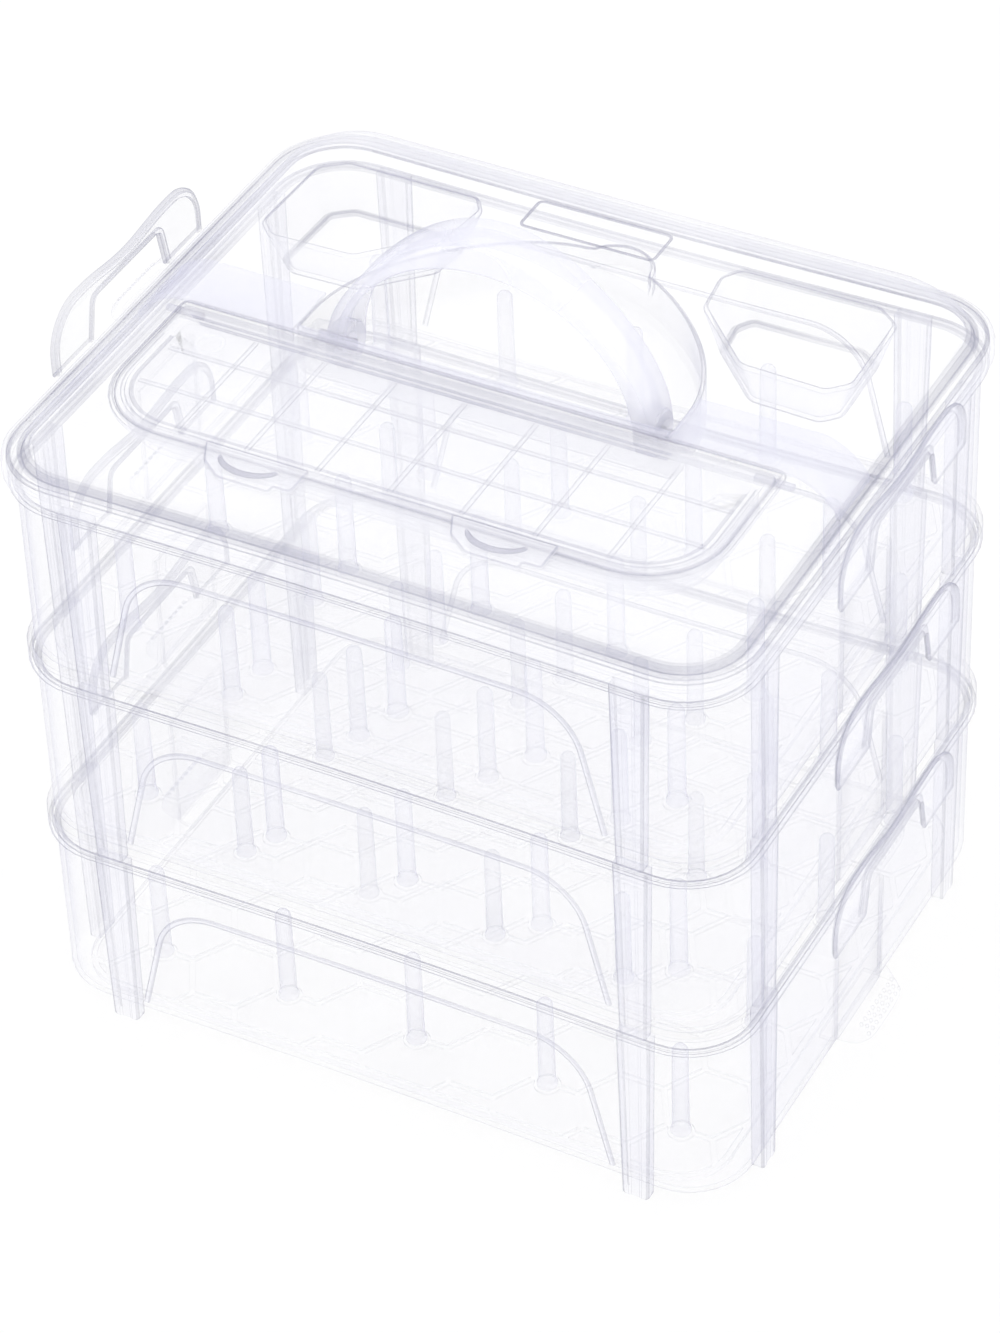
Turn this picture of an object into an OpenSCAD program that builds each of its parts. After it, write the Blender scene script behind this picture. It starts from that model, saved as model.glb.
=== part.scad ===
// Thread spool storage box: three stacking trays with spool pegs, a domed lid with a
// hinged compartment, a folding carry handle and press-in latch tongues on the sides.
// The origin is at the middle of the footprint, on the surface that the feet stand on.
// +Z is up, the front faces -Y and the latches are on the left and right.

/* [Box] */
// Width over the lid flange, side to side
box_w = 260; // [240:1:300]
// Depth over the lid flange, front to back
box_d = 216; // [200:1:250]
// Radius of the vertical corners at the lid flange
corner_r = 27; // [20:1:34]
// Wall thickness of the trays and the lid
wall_t = 1.6; // [1.2:0.1:2.2]
// Running gap between parts that lift, swing or fold
gap = 0.4; // [0.3:0.05:0.5]

/* [Trays] */
// Height that each tray adds to the stack
tray_pitch = 70.6; // [62:0.2:84]
// Height of the feet, which nest into the rim below
foot_h = 5.4; // [4:0.1:7]
// Height of the skirt round the tray rim
skirt_h = 6.4; // [5.8:0.1:8]
// Distance from the lid flange edge in to the tray wall
wall_inset = 4; // [3.8:0.1:5]
// Width of a pillar at its top
pillar_w = 12; // [9:0.5:15]
// How much narrower a pillar is at its foot
pillar_taper = 2.5; // [0:0.5:4]
// Thickness of a pillar, front to back
pillar_t = 4.4; // [3:0.1:6]
// Distance of the front and rear pillars from the middle
pillar_x = 95; // [85:1:97]
// Distance of the side pillars from the middle
pillar_y = 71; // [60:1:76]
// Depth of the stepped arch panel in the front and rear walls
panel_step = 0.6; // [0.3:0.1:0.8]
// Drop from the tray rim to the top of the arch panel
panel_drop = 20; // [12:1:30]

/* [Latches] */
// Width of a latch tongue and its finger lip
tongue_w = 34; // [26:1:38]
// Drop from the tray rim to the bend of the tongue
tongue_drop = 26; // [20:1:34]
// Inward reach of the notch that lets the tongue swing
tongue_notch = 6.5; // [5:0.5:8]
// Reach of the finger lip beyond the tray wall
lip_reach = 10.1; // [8:0.1:11]
// Height of the finger lip
lip_h = 7.5; // [5:0.5:9]
// Half width of the ear that guards the finger lip
ear_half = 46; // [40:1:50]
// Height of the ear above the tray rim
ear_h = 19; // [15:0.5:24]
// Radius of the upper corners of the ear
ear_r = 16; // [8:1:18]
// Half width of the window in the ear
window_half = 23; // [21:0.5:26]
// Height of the window above the tray rim
window_h = 10.5; // [9:0.5:13]

/* [Spool boards] */
// Thickness of a spool board
board_t = 2.2; // [1.6:0.1:3]
// Depth of the hexagon cells in the board
cell_depth = 1; // [0.4:0.1:1.2]
// Side length of a hexagon cell
cell_side = 15; // [12:0.5:15.5]
// Width of the rib between two cells
cell_rib = 2; // [1.6:0.1:3]
// Distance between two pegs, side to side
peg_pitch_x = 48.4; // [40:0.2:50]
// Distance between two rows of pegs, front to back
peg_pitch_y = 55.5; // [44:0.5:57]
// Sideways shift of the peg grid on its board
peg_shift_x = 2.3; // [-3:0.1:3]
// Rearward shift of the peg grid on its board
peg_shift_y = 4; // [-4:0.5:4]
// Sideways shift of the hexagon cells
cell_shift_x = 5; // [-8:0.5:8]
// Rearward shift of the hexagon cells
cell_shift_y = 5.4; // [-8:0.1:8]
// Height of a peg above its board
peg_h = 38; // [25:1:48]
// Diameter of a peg
peg_d = 5.8; // [4.5:0.1:8]
// Diameter of the ring at the foot of a peg
peg_ring_d = 7; // [6:0.1:10]

/* [Lid] */
// Height of the lid flange above the tray rim
flange_h = 4.3; // [3.5:0.1:6]
// How far the lid skirt reaches down over the tray rim
lid_lap = 2; // [1.5:0.1:2.1]
// Height of the domed top above the flange
dome_h = 12.5; // [11:0.5:16]
// Width of the flange ledge round the dome
ledge_w = 7.5; // [7.3:0.1:10]
// Inward slope of the dome at its sides
shoulder_x = 14.5; // [12:0.5:15]
// Inward slope of the dome at its front and rear
shoulder_y = 7.5; // [5:0.5:8]
// Corner radius of the dome at the flange
dome_r = 20; // [18:0.5:21]
// Corner radius of the deck
deck_r = 18; // [16:0.5:20]
// Height of the raised band across the lid
band_t = 0.8; // [0.4:0.1:1.2]
// Front edge of the raised band, behind the cover
band_front = -16.4; // [-16.4:0.1:-14]
// Rear edge of the raised band
band_back = 6; // [5:0.5:12]

/* [Compartment] */
// Distance of the cover's ends from the side edges of the deck
cover_side = 4; // [3:0.5:8]
// Distance of the cover's front edge from the front edge of the deck
cover_lip = 13; // [11:0.5:18]
// Line of the cover hinge
hinge_y = -19; // [-22:0.5:-18.8]
// Radius of the front corners of the cover
cover_r = 26; // [14:1:30]
// Thickness of the cover
cover_t = 2; // [1.6:0.1:2.2]
// Radius of the hinge barrel
barrel_r = 2.2; // [2:0.1:2.3]
// Diameter of the hinge pins
hinge_pin_d = 2.4; // [1.6:0.1:2.6]
// Depth of the compartment under the cover
compartment_depth = 10; // [6:0.5:14]
// Width of the ledge that carries the cover
cover_ledge = 4.5; // [3:0.5:6]
// Height of the grid ribs under the cover
grid_rib = 0.8; // [0.4:0.1:1]
// Distance of a snap tab from the middle
tab_x = 42.5; // [30:0.5:60]
// Width of a snap tab
tab_w = 36; // [24:1:44]
// Reach of a snap tab beyond the front edge of the cover
tab_reach = 13; // [11:0.5:14]
// Thickness of a snap tab
tab_t = 1.5; // [1:0.1:2.5]

/* [Carry handle] */
// Outer radius of the handle arch
handle_r = 57.5; // [52:0.5:58]
// Depth of the handle, front to back, when upright
handle_depth = 16; // [12:0.5:17]
// Thickness of the handle arch at the crown
crown_t = 10.5; // [9:0.5:12]
// Thickness of the handle arch at its legs
leg_t = 6.5; // [6:0.5:8]
// Plane of the upright handle
handle_y = -3; // [-3.5:0.5:-2]
// Drop from the deck to the handle pivot
pivot_drop = 9.5; // [9:0.5:11]
// Diameter of the handle pivot pins
pivot_pin_d = 4; // [3:0.1:5]
// Half width of the handle recess at the pivots
recess_half = 65; // [64.5:0.5:66]

/* [Cups] */
// Distance from the middle to the inner edge of a rear cup
cup_inner = 44; // [43.5:0.5:48]
// Distance of a rear cup from the side edge of the deck
cup_side = 4; // [3.5:0.5:8]
// Distance of a rear cup behind the raised band
cup_front = 22; // [21:0.5:26]
// Distance of a rear cup from the rear edge of the deck
cup_back = 19; // [18:0.5:24]
// Depth of the rear cups below the deck
cup_depth = 16; // [10:0.5:17]
// Share of the cup mouth that its floor keeps
cup_taper = 0.8; // [0.6:0.05:0.95]
// Radius of the finger notch behind the handle
notch_r = 12; // [9:0.5:13]
// Sideways place of the finger notch
notch_x = 10; // [-12:1:12]
// Depth of the finger notch
notch_depth = 7.4; // [4:0.2:9]

/* [Hidden] */
$fn = 64;
hull_fn = 32;
cut = 0.1;
fit = 0.05;
clear_tint = [0.86, 0.86, 0.93, 0.45];
dense_tint = [0.74, 0.74, 0.86, 0.6];

// Half sizes of the nested outlines, from the lid flange inwards
skirt_t = wall_t - 0.2;
skirt_half_x = box_w / 2 - 1.1 - gap;
skirt_half_y = box_d / 2 - 1.1 - gap;
wall_half_x = box_w / 2 - wall_inset;
wall_half_y = box_d / 2 - wall_inset;
pillar_proud = min(0.8, skirt_half_x - skirt_t - wall_half_x - 0.25);

// Levels in a tray, from its own feet
rim_z = tray_pitch + foot_h;
skirt_z = rim_z - skirt_h;
bend_z = rim_z - tongue_drop;
floor_z = foot_h + wall_t;

// Levels of the lid, from the surface that the box stands on
lid_z = 3 * tray_pitch + foot_h;
flange_z = lid_z + flange_h;
deck_z = flange_z + dome_h;
dome_half_x = box_w / 2 - ledge_w;
dome_half_y = box_d / 2 - ledge_w;
deck_half_x = dome_half_x - shoulder_x;
deck_half_y = dome_half_y - shoulder_y;
cover_half = deck_half_x - cover_side;
cover_front = cover_lip - deck_half_y;
board_r = corner_r * 2 / 3;
cup_wide = deck_half_x - cup_side - cup_inner;
cup_long = deck_half_y - cup_back - band_back - cup_front;
pivot_z = deck_z - pivot_drop;
recess_floor = pivot_z - handle_depth / 2 - 0.6;
recess_front = handle_y - handle_depth / 2 - 1.6;
dome_low = recess_floor - wall_t;
hinge_z = deck_z - barrel_r;
seat_z = deck_z - cover_t - cut;
compartment_back = hinge_y - barrel_r - 0.6 - wall_t;
boss_in = handle_r + gap;
leg_in = handle_r - leg_t;

// Rounded rectangle from its half sizes
module plan(hx, hy, r) {
    square([2 * (hx - r), 2 * hy], center = true);
    square([2 * hx, 2 * (hy - r)], center = true);
    for (sx = [-1, 1], sy = [-1, 1])
        translate([sx * (hx - r), sy * (hy - r)]) circle(r = r);
}

// Straight block with the outline above, between two levels
module block(hx, hy, r, z0, z1) {
    translate([0, 0, z0]) linear_extrude(z1 - z0) plan(hx, hy, r);
}

// Corner radius of an outline that lies a given distance inside the lid flange
function inner_r(inset) = corner_r - inset;

// Upright pillar with a tapered face, looking along -Y at y = 0, top at z = height
module pillar(height) {
    rotate([90, 0, 0])
        linear_extrude(pillar_t)
            polygon([
                [-(pillar_w - pillar_taper) / 2, 0],
                [(pillar_w - pillar_taper) / 2, 0],
                [pillar_w / 2, height],
                [-pillar_w / 2, height]
            ]);
}

// Places its child at all eight pillar positions, with the outer face at y = 0
module at_pillars() {
    out_x = wall_half_x + pillar_proud;
    out_y = wall_half_y + pillar_proud;
    for (side = [-1, 1]) {
        for (x = [-pillar_x, pillar_x])
            translate([x, side * out_y, 0])
                rotate([0, 0, side > 0 ? 0 : 180])
                    children();
        for (y = [-pillar_y, pillar_y])
            translate([side * out_x, y, 0])
                rotate([0, 0, side > 0 ? -90 : 90])
                    children();
    }
}

// Outline of the arch panel, seen from the front with the tray's feet at z = 0
module arch_outline() {
    r = 22;
    top = rim_z - panel_drop;
    foot = floor_z + 3;
    lean = 14;
    mid_x = 58;
    side_x = mid_x + r * cos(lean);
    side_z = top - r + r * sin(lean);
    foot_x = side_x + (side_z - foot) * tan(lean);
    corner = [for (a = [lean : 7.6 : 90]) [mid_x + r * cos(a), top - r + r * sin(a)]];
    half = concat([[foot_x, foot]], corner);
    mirrored = [for (i = [len(half) - 1 : -1 : 0]) [-half[i][0], half[i][1]]];
    polygon(concat(half, mirrored));
}

// Shallow step of the arch panel on the front and rear walls
module arch_steps() {
    for (turn = [0, 180])
        rotate([0, 0, turn])
            translate([0, -wall_half_y + panel_step, 0])
                rotate([90, 0, 0])
                    linear_extrude(panel_step + 1)
                        arch_outline();
}

// Side view of an ear, with round upper corners and the window for the finger lip
module ear_outline(low) {
    high = rim_z + ear_h;
    difference() {
        intersection() {
            union() {
                translate([-ear_half, low]) square([2 * ear_half, high - ear_r - low]);
                translate([-ear_half + ear_r, low]) square([2 * (ear_half - ear_r), high - low]);
                for (y = [-ear_half + ear_r, ear_half - ear_r])
                    translate([y, high - ear_r]) circle(r = ear_r);
            }
            translate([-ear_half, low]) square([2 * ear_half, high - low]);
        }
        polygon([
            [-window_half, low - cut],
            [window_half, low - cut],
            [window_half - 3, rim_z + window_h],
            [-window_half + 3, rim_z + window_h]
        ]);
    }
}

// Ear that stands outside the finger lip of the piece above, on the +X side
module ear() {
    out_x = wall_half_x + lip_reach + gap;
    root_x = skirt_half_x;
    low = rim_z - lid_lap - gap - wall_t;
    translate([out_x, 0, 0])
        rotate([90, 0, 90])
            linear_extrude(wall_t)
                ear_outline(low);
    for (side = [-1, 1])
        translate([root_x, side > 0 ? window_half : -ear_half, low])
            cube([out_x + wall_t - root_x, ear_half - window_half, wall_t]);
}

// Space that a latch tongue needs in the wall and floor, on the +X side
module tongue_space() {
    translate([wall_half_x - tongue_notch, -tongue_w / 2 - 0.5, -cut])
        cube([tongue_notch + 1.1, tongue_w + 1, bend_z + wall_t / 2 + 0.3 + cut]);
}

// One tray, standing on its feet at z = 0
module tray() {
    difference() {
        union() {
            block(wall_half_x, wall_half_y, inner_r(wall_inset), foot_h, tray_pitch);
            block(skirt_half_x, skirt_half_y, inner_r(1.1 + gap), skirt_z, rim_z);
            at_pillars() pillar(tray_pitch);
        }
        difference() {
            block(wall_half_x - wall_t, wall_half_y - wall_t, inner_r(wall_inset + wall_t),
                floor_z, rim_z + cut);
            at_pillars() pillar(tray_pitch);
        }
        block(skirt_half_x - skirt_t, skirt_half_y - skirt_t, inner_r(1.1 + gap + skirt_t),
            tray_pitch, rim_z + cut);
        tongue_space();
        mirror([1, 0, 0]) tongue_space();
        arch_steps();
    }
}

// Profile of a finger lip against the rim below it at z = 0, from an inner face
module lip_profile(inner_x) {
    out_x = wall_half_x + lip_reach;
    polygon([
        [inner_x, 0.8],
        [out_x, 0.8],
        [out_x, 1.8],
        [wall_half_x + lip_reach / 2, lip_h],
        [inner_x, lip_h]
    ]);
}

// Latch tongue with its finger lip, on the +X side of a tray whose feet are at z = 0
module tongue() {
    inner_x = wall_half_x - wall_t;
    low = foot_h + 0.8;
    translate([0, tongue_w / 2, 0])
        rotate([90, 0, 0])
            linear_extrude(tongue_w) {
                translate([inner_x, low]) square([wall_t, bend_z - low]);
                translate([0, foot_h]) lip_profile(inner_x);
                translate([inner_x + wall_t / 2, bend_z]) circle(d = wall_t);
            }
}

// Places of the pegs on a board
function peg_places() = [
    for (i = [-2 : 2], j = [0 : 3])
        [i * peg_pitch_x + peg_shift_x, (j - 1.5) * peg_pitch_y + peg_shift_y]
];

// Share of a row by which every second column of cells is shifted
function row_offset(i) = i % 2 == 0 ? 0.5 : 0;

// Hexagon cells sunk into the top of a board
module board_cells(hx, hy) {
    step_x = 1.5 * cell_side + cell_rib * sqrt(3) / 2;
    step_y = cell_side * sqrt(3) + cell_rib;
    cols = ceil(hx / step_x);
    rows = ceil(hy / step_y);
    difference() {
        intersection() {
            block(hx - cell_rib, hy - cell_rib, board_r - cell_rib,
                board_t - cell_depth, board_t + cut);
            for (i = [-cols : cols], j = [-rows : rows])
                translate([i * step_x + cell_shift_x, (j + row_offset(i)) * step_y + cell_shift_y, 0])
                    cylinder(r = cell_side, h = board_t + 1, $fn = 6);
        }
        for (p = peg_places())
            translate([p[0], p[1], 0]) cylinder(d = peg_ring_d + 2, h = board_t + 1);
    }
}

// Spool board, lying at z = 0
module board() {
    hx = wall_half_x - tongue_notch - 1;
    hy = wall_half_y - pillar_t - gap + pillar_proud;
    difference() {
        block(hx, hy, board_r, 0, board_t);
        board_cells(hx, hy);
    }
}

// One spool peg, turned from its profile, standing at z = 0
module peg() {
    tip_r = peg_d / 2 - 0.2;
    rotate_extrude()
        difference() {
            union() {
                polygon([
                    [0, 0],
                    [peg_ring_d / 2, 0],
                    [peg_ring_d / 2, 1],
                    [peg_d / 2, 1.6],
                    [tip_r, peg_h - tip_r],
                    [0, peg_h - tip_r]
                ]);
                translate([0, peg_h - tip_r]) circle(r = tip_r);
            }
            translate([-peg_d, 0]) square([peg_d, peg_h]);
        }
}

// All pegs of one board
module pegs() {
    for (p = peg_places())
        translate([p[0], p[1], 0]) peg();
}

// Smooth dome, grown or shrunk by a step, down to a given level
module dome(step, low) {
    hull() {
        block(dome_half_x + step, dome_half_y + step, dome_r, low, flange_z + 2, $fn = hull_fn);
        block(dome_half_x + step - shoulder_x * 0.414, dome_half_y + step - shoulder_y * 0.36, dome_r,
            flange_z + dome_h * 0.62 + step, flange_z + dome_h * 0.62 + step + 0.01, $fn = hull_fn);
        block(deck_half_x + step, deck_half_y + step, deck_r,
            deck_z + step - 0.01, deck_z + step, $fn = hull_fn);
    }
}

// Outline of the cover or of its seat, larger by a step, with round front corners
module cover_outline(step, back) {
    half = cover_half + step;
    front = cover_front - step;
    r = cover_r + step;
    translate([-half, front + r]) square([2 * half, back - front - r]);
    translate([-half + r, front]) square([2 * (half - r), r + 1]);
    for (sx = [-1, 1])
        translate([sx * (half - r), front + r]) circle(r = r);
}

// Outline of the recess that takes the folded handle, larger by a step
module recess_outline(step) {
    arc_points = [
        for (a = [0 : 6 : 180])
            let (r = recess_half - 2.5 * pow(sin(2 * a), 2) + 2 * pow(sin(a), 12) + step)
            [r * cos(a), handle_y + r * sin(a)]
    ];
    polygon(concat(arc_points, [
        [-recess_half - step, recess_front - step],
        [recess_half + step, recess_front - step]
    ]));
}

// Outline of the finger notch at the rear edge of the handle recess
module notch_outline(step) {
    translate([notch_x, handle_y + recess_half - notch_r / 3]) circle(r = notch_r + step);
}

// Rear cup on the +X side as a tapered solid, larger by a step
module cup(step) {
    corner = [cup_inner, band_back + cup_front];
    middle = corner + [cup_wide * 0.55, cup_long * 0.52];
    low = deck_z - cup_depth - step;
    mouth = [
        for (p = [
            [0.417, 0.02], [0.9, 0], [1, 0.13], [0.98, 0.87],
            [0.85, 1], [0.067, 1], [0, 0.87], [0.033, 0.52]
        ])
            corner + [p[0] * cup_wide, p[1] * cup_long]
    ];
    grow = step / (cup_wide * 0.45);
    hull() {
        translate([0, 0, deck_z - 0.02])
            linear_extrude(0.02)
                polygon([for (p = mouth) middle + (p - middle) * (1 + grow)]);
        translate([0, 0, low])
            linear_extrude(0.02)
                polygon([for (p = mouth) middle + (p - middle) * (cup_taper + grow)]);
    }
}

// Pans that hang below the deck: compartment, handle recess, finger notch and bosses
module lid_pans() {
    low = seat_z - compartment_depth - wall_t;
    translate([0, 0, low])
        linear_extrude(deck_z - low)
            cover_outline(gap + wall_t, band_front + wall_t);
    translate([0, 0, dome_low])
        linear_extrude(deck_z - dome_low)
            recess_outline(wall_t);
    translate([0, 0, deck_z - notch_depth - wall_t])
        linear_extrude(notch_depth + wall_t)
            notch_outline(wall_t);
    for (sx = [-1, 1])
        translate([sx * (cover_half + 3.5) - 3.5, hinge_y - 3, hinge_z - 2.6])
            cube([7, 6.4, 2.6 + barrel_r]);
}

// Hollows cut from above: cover seat, compartment, hinge groove, handle recess, notch
module lid_hollows() {
    translate([0, 0, seat_z])
        linear_extrude(deck_z)
            cover_outline(gap, band_front);
    translate([0, 0, seat_z - compartment_depth])
        linear_extrude(deck_z)
            cover_outline(-cover_ledge, compartment_back);
    translate([-cover_half - gap, hinge_y - barrel_r - 0.6, hinge_z - barrel_r - 0.3])
        cube([2 * (cover_half + gap), band_front - hinge_y + barrel_r + 0.6, 2 * barrel_r + 1]);
    translate([0, 0, recess_floor])
        linear_extrude(deck_z)
            recess_outline(0);
    translate([0, 0, deck_z - notch_depth])
        linear_extrude(deck_z)
            notch_outline(0);
}

// Bores for the hinge pins and the handle pins
module lid_bores() {
    for (sx = [-1, 1]) {
        translate([sx * (cover_half + 2), hinge_y, hinge_z])
            rotate([0, sx * 90, 0])
                translate([0, 0, -4])
                    cylinder(d = hinge_pin_d + 2 * fit, h = box_w / 2 - cover_half);
        translate([sx * (boss_in - 1), handle_y, pivot_z])
            rotate([0, sx * 90, 0])
                cylinder(d = pivot_pin_d + 2 * fit, h = recess_half - boss_in + 1);
    }
}

// Flange ring that seats on the top tray, with the skirt that laps over its rim
module flange_ring() {
    seat_half_x = skirt_half_x - skirt_t;
    seat_half_y = skirt_half_y - skirt_t;
    difference() {
        block(box_w / 2, box_d / 2, corner_r, lid_z - lid_lap, flange_z);
        block(skirt_half_x + gap, skirt_half_y + gap, inner_r(1.1), lid_z - lid_lap - cut, lid_z);
        block(seat_half_x, seat_half_y, inner_r(1.1 + gap + skirt_t), lid_z - cut, flange_z - wall_t);
        block(dome_half_x - wall_t, dome_half_y - wall_t, dome_r - wall_t, lid_z, flange_z + cut);
    }
}

// Raised band across the lid, between the cover and the cups
module lid_band() {
    intersection() {
        dome(band_t, flange_z + 0.5);
        translate([-box_w / 2, band_front, flange_z + 0.5])
            cube([box_w, band_back - band_front, dome_h + 5]);
    }
}

// Finger lip fixed to the lid, on the +X side
module lid_lip() {
    translate([0, tongue_w / 2, lid_z])
        rotate([90, 0, 0])
            linear_extrude(tongue_w)
                lip_profile(wall_half_x + 1.2);
}

module lid_part() {
    difference() {
        union() {
            difference() {
                union() {
                    dome(0, dome_low);
                    lid_band();
                }
                difference() {
                    dome(-wall_t, dome_low - 1);
                    lid_pans();
                    cup(wall_t);
                    mirror([1, 0, 0]) cup(wall_t);
                }
            }
            flange_ring();
            lid_lip();
            mirror([1, 0, 0]) lid_lip();
        }
        lid_hollows();
        cup(0);
        mirror([1, 0, 0]) cup(0);
        lid_bores();
    }
    lid_pivot_bosses();
}

// Bosses on the recess walls that hold the handle pins
module lid_pivot_bosses() {
    for (sx = [-1, 1])
        translate([sx * boss_in, handle_y, pivot_z])
            rotate([0, sx * 90, 0])
                difference() {
                    cylinder(r = pivot_pin_d / 2 + 3, h = recess_half - boss_in + cut);
                    translate([0, 0, -cut])
                        cylinder(d = pivot_pin_d + 2 * fit, h = recess_half - boss_in - 1);
                }
}

// Compartment cover, closed
module cover() {
    field_inset = cover_ledge + 0.5;
    field_front = cover_front + field_inset;
    field_back = compartment_back - gap;
    field_half = cover_half - field_inset;
    rib = 2 * grid_rib;
    difference() {
        union() {
            translate([0, 0, deck_z - cover_t])
                linear_extrude(cover_t)
                    cover_outline(0, hinge_y);
            translate([-cover_half, hinge_y, hinge_z])
                rotate([0, 90, 0])
                    cylinder(r = barrel_r, h = 2 * cover_half);
            for (i = [1 : 7])
                translate([-field_half + i * field_half / 4 - rib / 2, field_front,
                    deck_z - cover_t - grid_rib])
                    cube([rib, field_back - field_front, grid_rib + cut]);
            for (i = [1, 2])
                translate([-field_half, field_front + i * (hinge_y - field_front) / 3 - rib / 2,
                    deck_z - cover_t - grid_rib])
                    cube([2 * field_half, rib, grid_rib + cut]);
        }
        for (sx = [-1, 1])
            translate([sx * (cover_half - 8), hinge_y, hinge_z])
                rotate([0, sx * 90, 0])
                    cylinder(d = hinge_pin_d + 2 * fit, h = 10);
    }
}

// Snap tab on the front edge of the cover, with a crescent for the thumb
module tab(side) {
    back = cover_front + tab_t;
    front = cover_front - tab_reach;
    step = tab_reach * 0.23;
    translate([side * tab_x, 0, deck_z + cut])
        linear_extrude(tab_t)
            difference() {
                polygon([
                    [-tab_w / 2, back],
                    [-tab_w * 0.39, front + 2 * step],
                    [-tab_w / 6, front],
                    [tab_w / 3, front],
                    [tab_w / 3, front + step],
                    [tab_w / 2, front + step],
                    [tab_w / 2, back]
                ]);
                difference() {
                    translate([0, cover_front - tab_w / 8]) circle(r = tab_w / 4);
                    translate([0, cover_front + tab_w * 0.07]) circle(r = tab_w * 0.32);
                }
            }
}

// Radius of the handle arch at an angle, outside and inside
function arch_out(a) = handle_r - 3.5 * pow(sin(2 * a), 2);
function arch_in(a) = leg_in - (leg_in - handle_r + crown_t) * pow(sin(a), 2);

// Ring between two offsets of the arch, upright in the XZ plane
module arch_ring(out_step, in_step) {
    outer = [for (a = [0 : 5 : 180]) (arch_out(a) - out_step) * [cos(a), sin(a)]];
    inner = [for (a = [180 : -5 : 0]) (arch_in(a) + in_step) * [cos(a), sin(a)]];
    polygon(concat(outer, inner));
}

// Carry handle: an arch of channel section with a round eye at each leg
module handle() {
    side_t = 2;
    skin_t = 2.4;
    translate([0, handle_y, pivot_z]) {
        difference() {
            union() {
                rotate([90, 0, 0])
                    linear_extrude(handle_depth, center = true)
                        arch_ring(0, 0);
                for (sx = [-1, 1])
                    translate([sx * leg_in, 0, 0])
                        rotate([0, sx * 90, 0])
                            cylinder(d = handle_depth, h = leg_t);
            }
            difference() {
                rotate([90, 0, 0])
                    linear_extrude(handle_depth - 2 * side_t, center = true)
                        arch_ring(skin_t, -5);
                translate([0, 0, 4])
                    cube([4 * handle_r, handle_depth, 16], center = true);
            }
            for (sx = [-1, 1])
                translate([sx * (leg_in - 1), 0, 0])
                    rotate([0, sx * 90, 0])
                        cylinder(d = pivot_pin_d + 2 * fit, h = leg_t + 2);
        }
    }
}

// Pivot pin of the handle, on one side
module pivot_pin(side) {
    translate([side * leg_in, handle_y, pivot_z])
        rotate([0, side * 90, 0])
            cylinder(d = pivot_pin_d, h = recess_half - leg_in - 1.5);
}

// Hinge pin of the compartment cover, on one side
module hinge_pin(side) {
    translate([side * (cover_half - 7.5), hinge_y, hinge_z])
        rotate([0, side * 90, 0])
            cylinder(d = hinge_pin_d, h = 13);
}

// Places its child at one of the three levels of the stack
module at_level(level) {
    translate([0, 0, level * tray_pitch]) children();
}

// Left-hand copy of its child
module left() {
    mirror([1, 0, 0]) children();
}

module tray_bottom() { color(clear_tint) at_level(0) tray(); }
module tray_middle() { color(clear_tint) at_level(1) tray(); }
module tray_top() { color(clear_tint) at_level(2) tray(); }
module latch_tongue_bottom_left() { color(dense_tint) at_level(0) left() tongue(); }
module latch_tongue_bottom_right() { color(dense_tint) at_level(0) tongue(); }
module latch_tongue_middle_left() { color(dense_tint) at_level(1) left() tongue(); }
module latch_tongue_middle_right() { color(dense_tint) at_level(1) tongue(); }
module latch_tongue_top_left() { color(dense_tint) at_level(2) left() tongue(); }
module latch_tongue_top_right() { color(dense_tint) at_level(2) tongue(); }
module latch_ear_bottom_left() { color(clear_tint) at_level(0) left() ear(); }
module latch_ear_bottom_right() { color(clear_tint) at_level(0) ear(); }
module latch_ear_middle_left() { color(clear_tint) at_level(1) left() ear(); }
module latch_ear_middle_right() { color(clear_tint) at_level(1) ear(); }
module latch_ear_top_left() { color(clear_tint) at_level(2) left() ear(); }
module latch_ear_top_right() { color(clear_tint) at_level(2) ear(); }
module board_at(level) { at_level(level) translate([0, 0, floor_z]) board(); }
module pegs_at(level) { at_level(level) translate([0, 0, floor_z + board_t]) pegs(); }
module spool_board_bottom() { color(clear_tint) board_at(0); }
module spool_board_middle() { color(clear_tint) board_at(1); }
module spool_board_top() { color(clear_tint) board_at(2); }
module spool_pegs_bottom() { color(dense_tint) pegs_at(0); }
module spool_pegs_middle() { color(dense_tint) pegs_at(1); }
module spool_pegs_top() { color(dense_tint) pegs_at(2); }
module lid() { color(clear_tint) lid_part(); }
module compartment_cover() { color(clear_tint) cover(); }
module cover_snap_tab_left() { color(dense_tint) tab(-1); }
module cover_snap_tab_right() { color(dense_tint) tab(1); }
module cover_hinge_pin_left() { color(dense_tint) hinge_pin(-1); }
module cover_hinge_pin_right() { color(dense_tint) hinge_pin(1); }
module carry_handle() { color(dense_tint) handle(); }
module handle_pivot_pin_left() { color(dense_tint) pivot_pin(-1); }
module handle_pivot_pin_right() { color(dense_tint) pivot_pin(1); }

tray_bottom();
tray_middle();
tray_top();
latch_tongue_bottom_left();
latch_tongue_bottom_right();
latch_tongue_middle_left();
latch_tongue_middle_right();
latch_tongue_top_left();
latch_tongue_top_right();
latch_ear_bottom_left();
latch_ear_bottom_right();
latch_ear_middle_left();
latch_ear_middle_right();
latch_ear_top_left();
latch_ear_top_right();
spool_board_bottom();
spool_board_middle();
spool_board_top();
spool_pegs_bottom();
spool_pegs_middle();
spool_pegs_top();
lid();
compartment_cover();
cover_snap_tab_left();
cover_snap_tab_right();
cover_hinge_pin_left();
cover_hinge_pin_right();
carry_handle();
handle_pivot_pin_left();
handle_pivot_pin_right();
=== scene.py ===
"""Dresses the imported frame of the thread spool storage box.

Three stacked trays with latch tongues and guard ears, spool boards with pegs, and a domed
lid with a compartment cover, two rear cups and a folding carry handle, all moulded in clear
plastic. Sizes in this file are millimetres in the part's own frame (floor at z = 0, front
towards -Y) and become metres when a mesh is made.
"""

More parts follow.
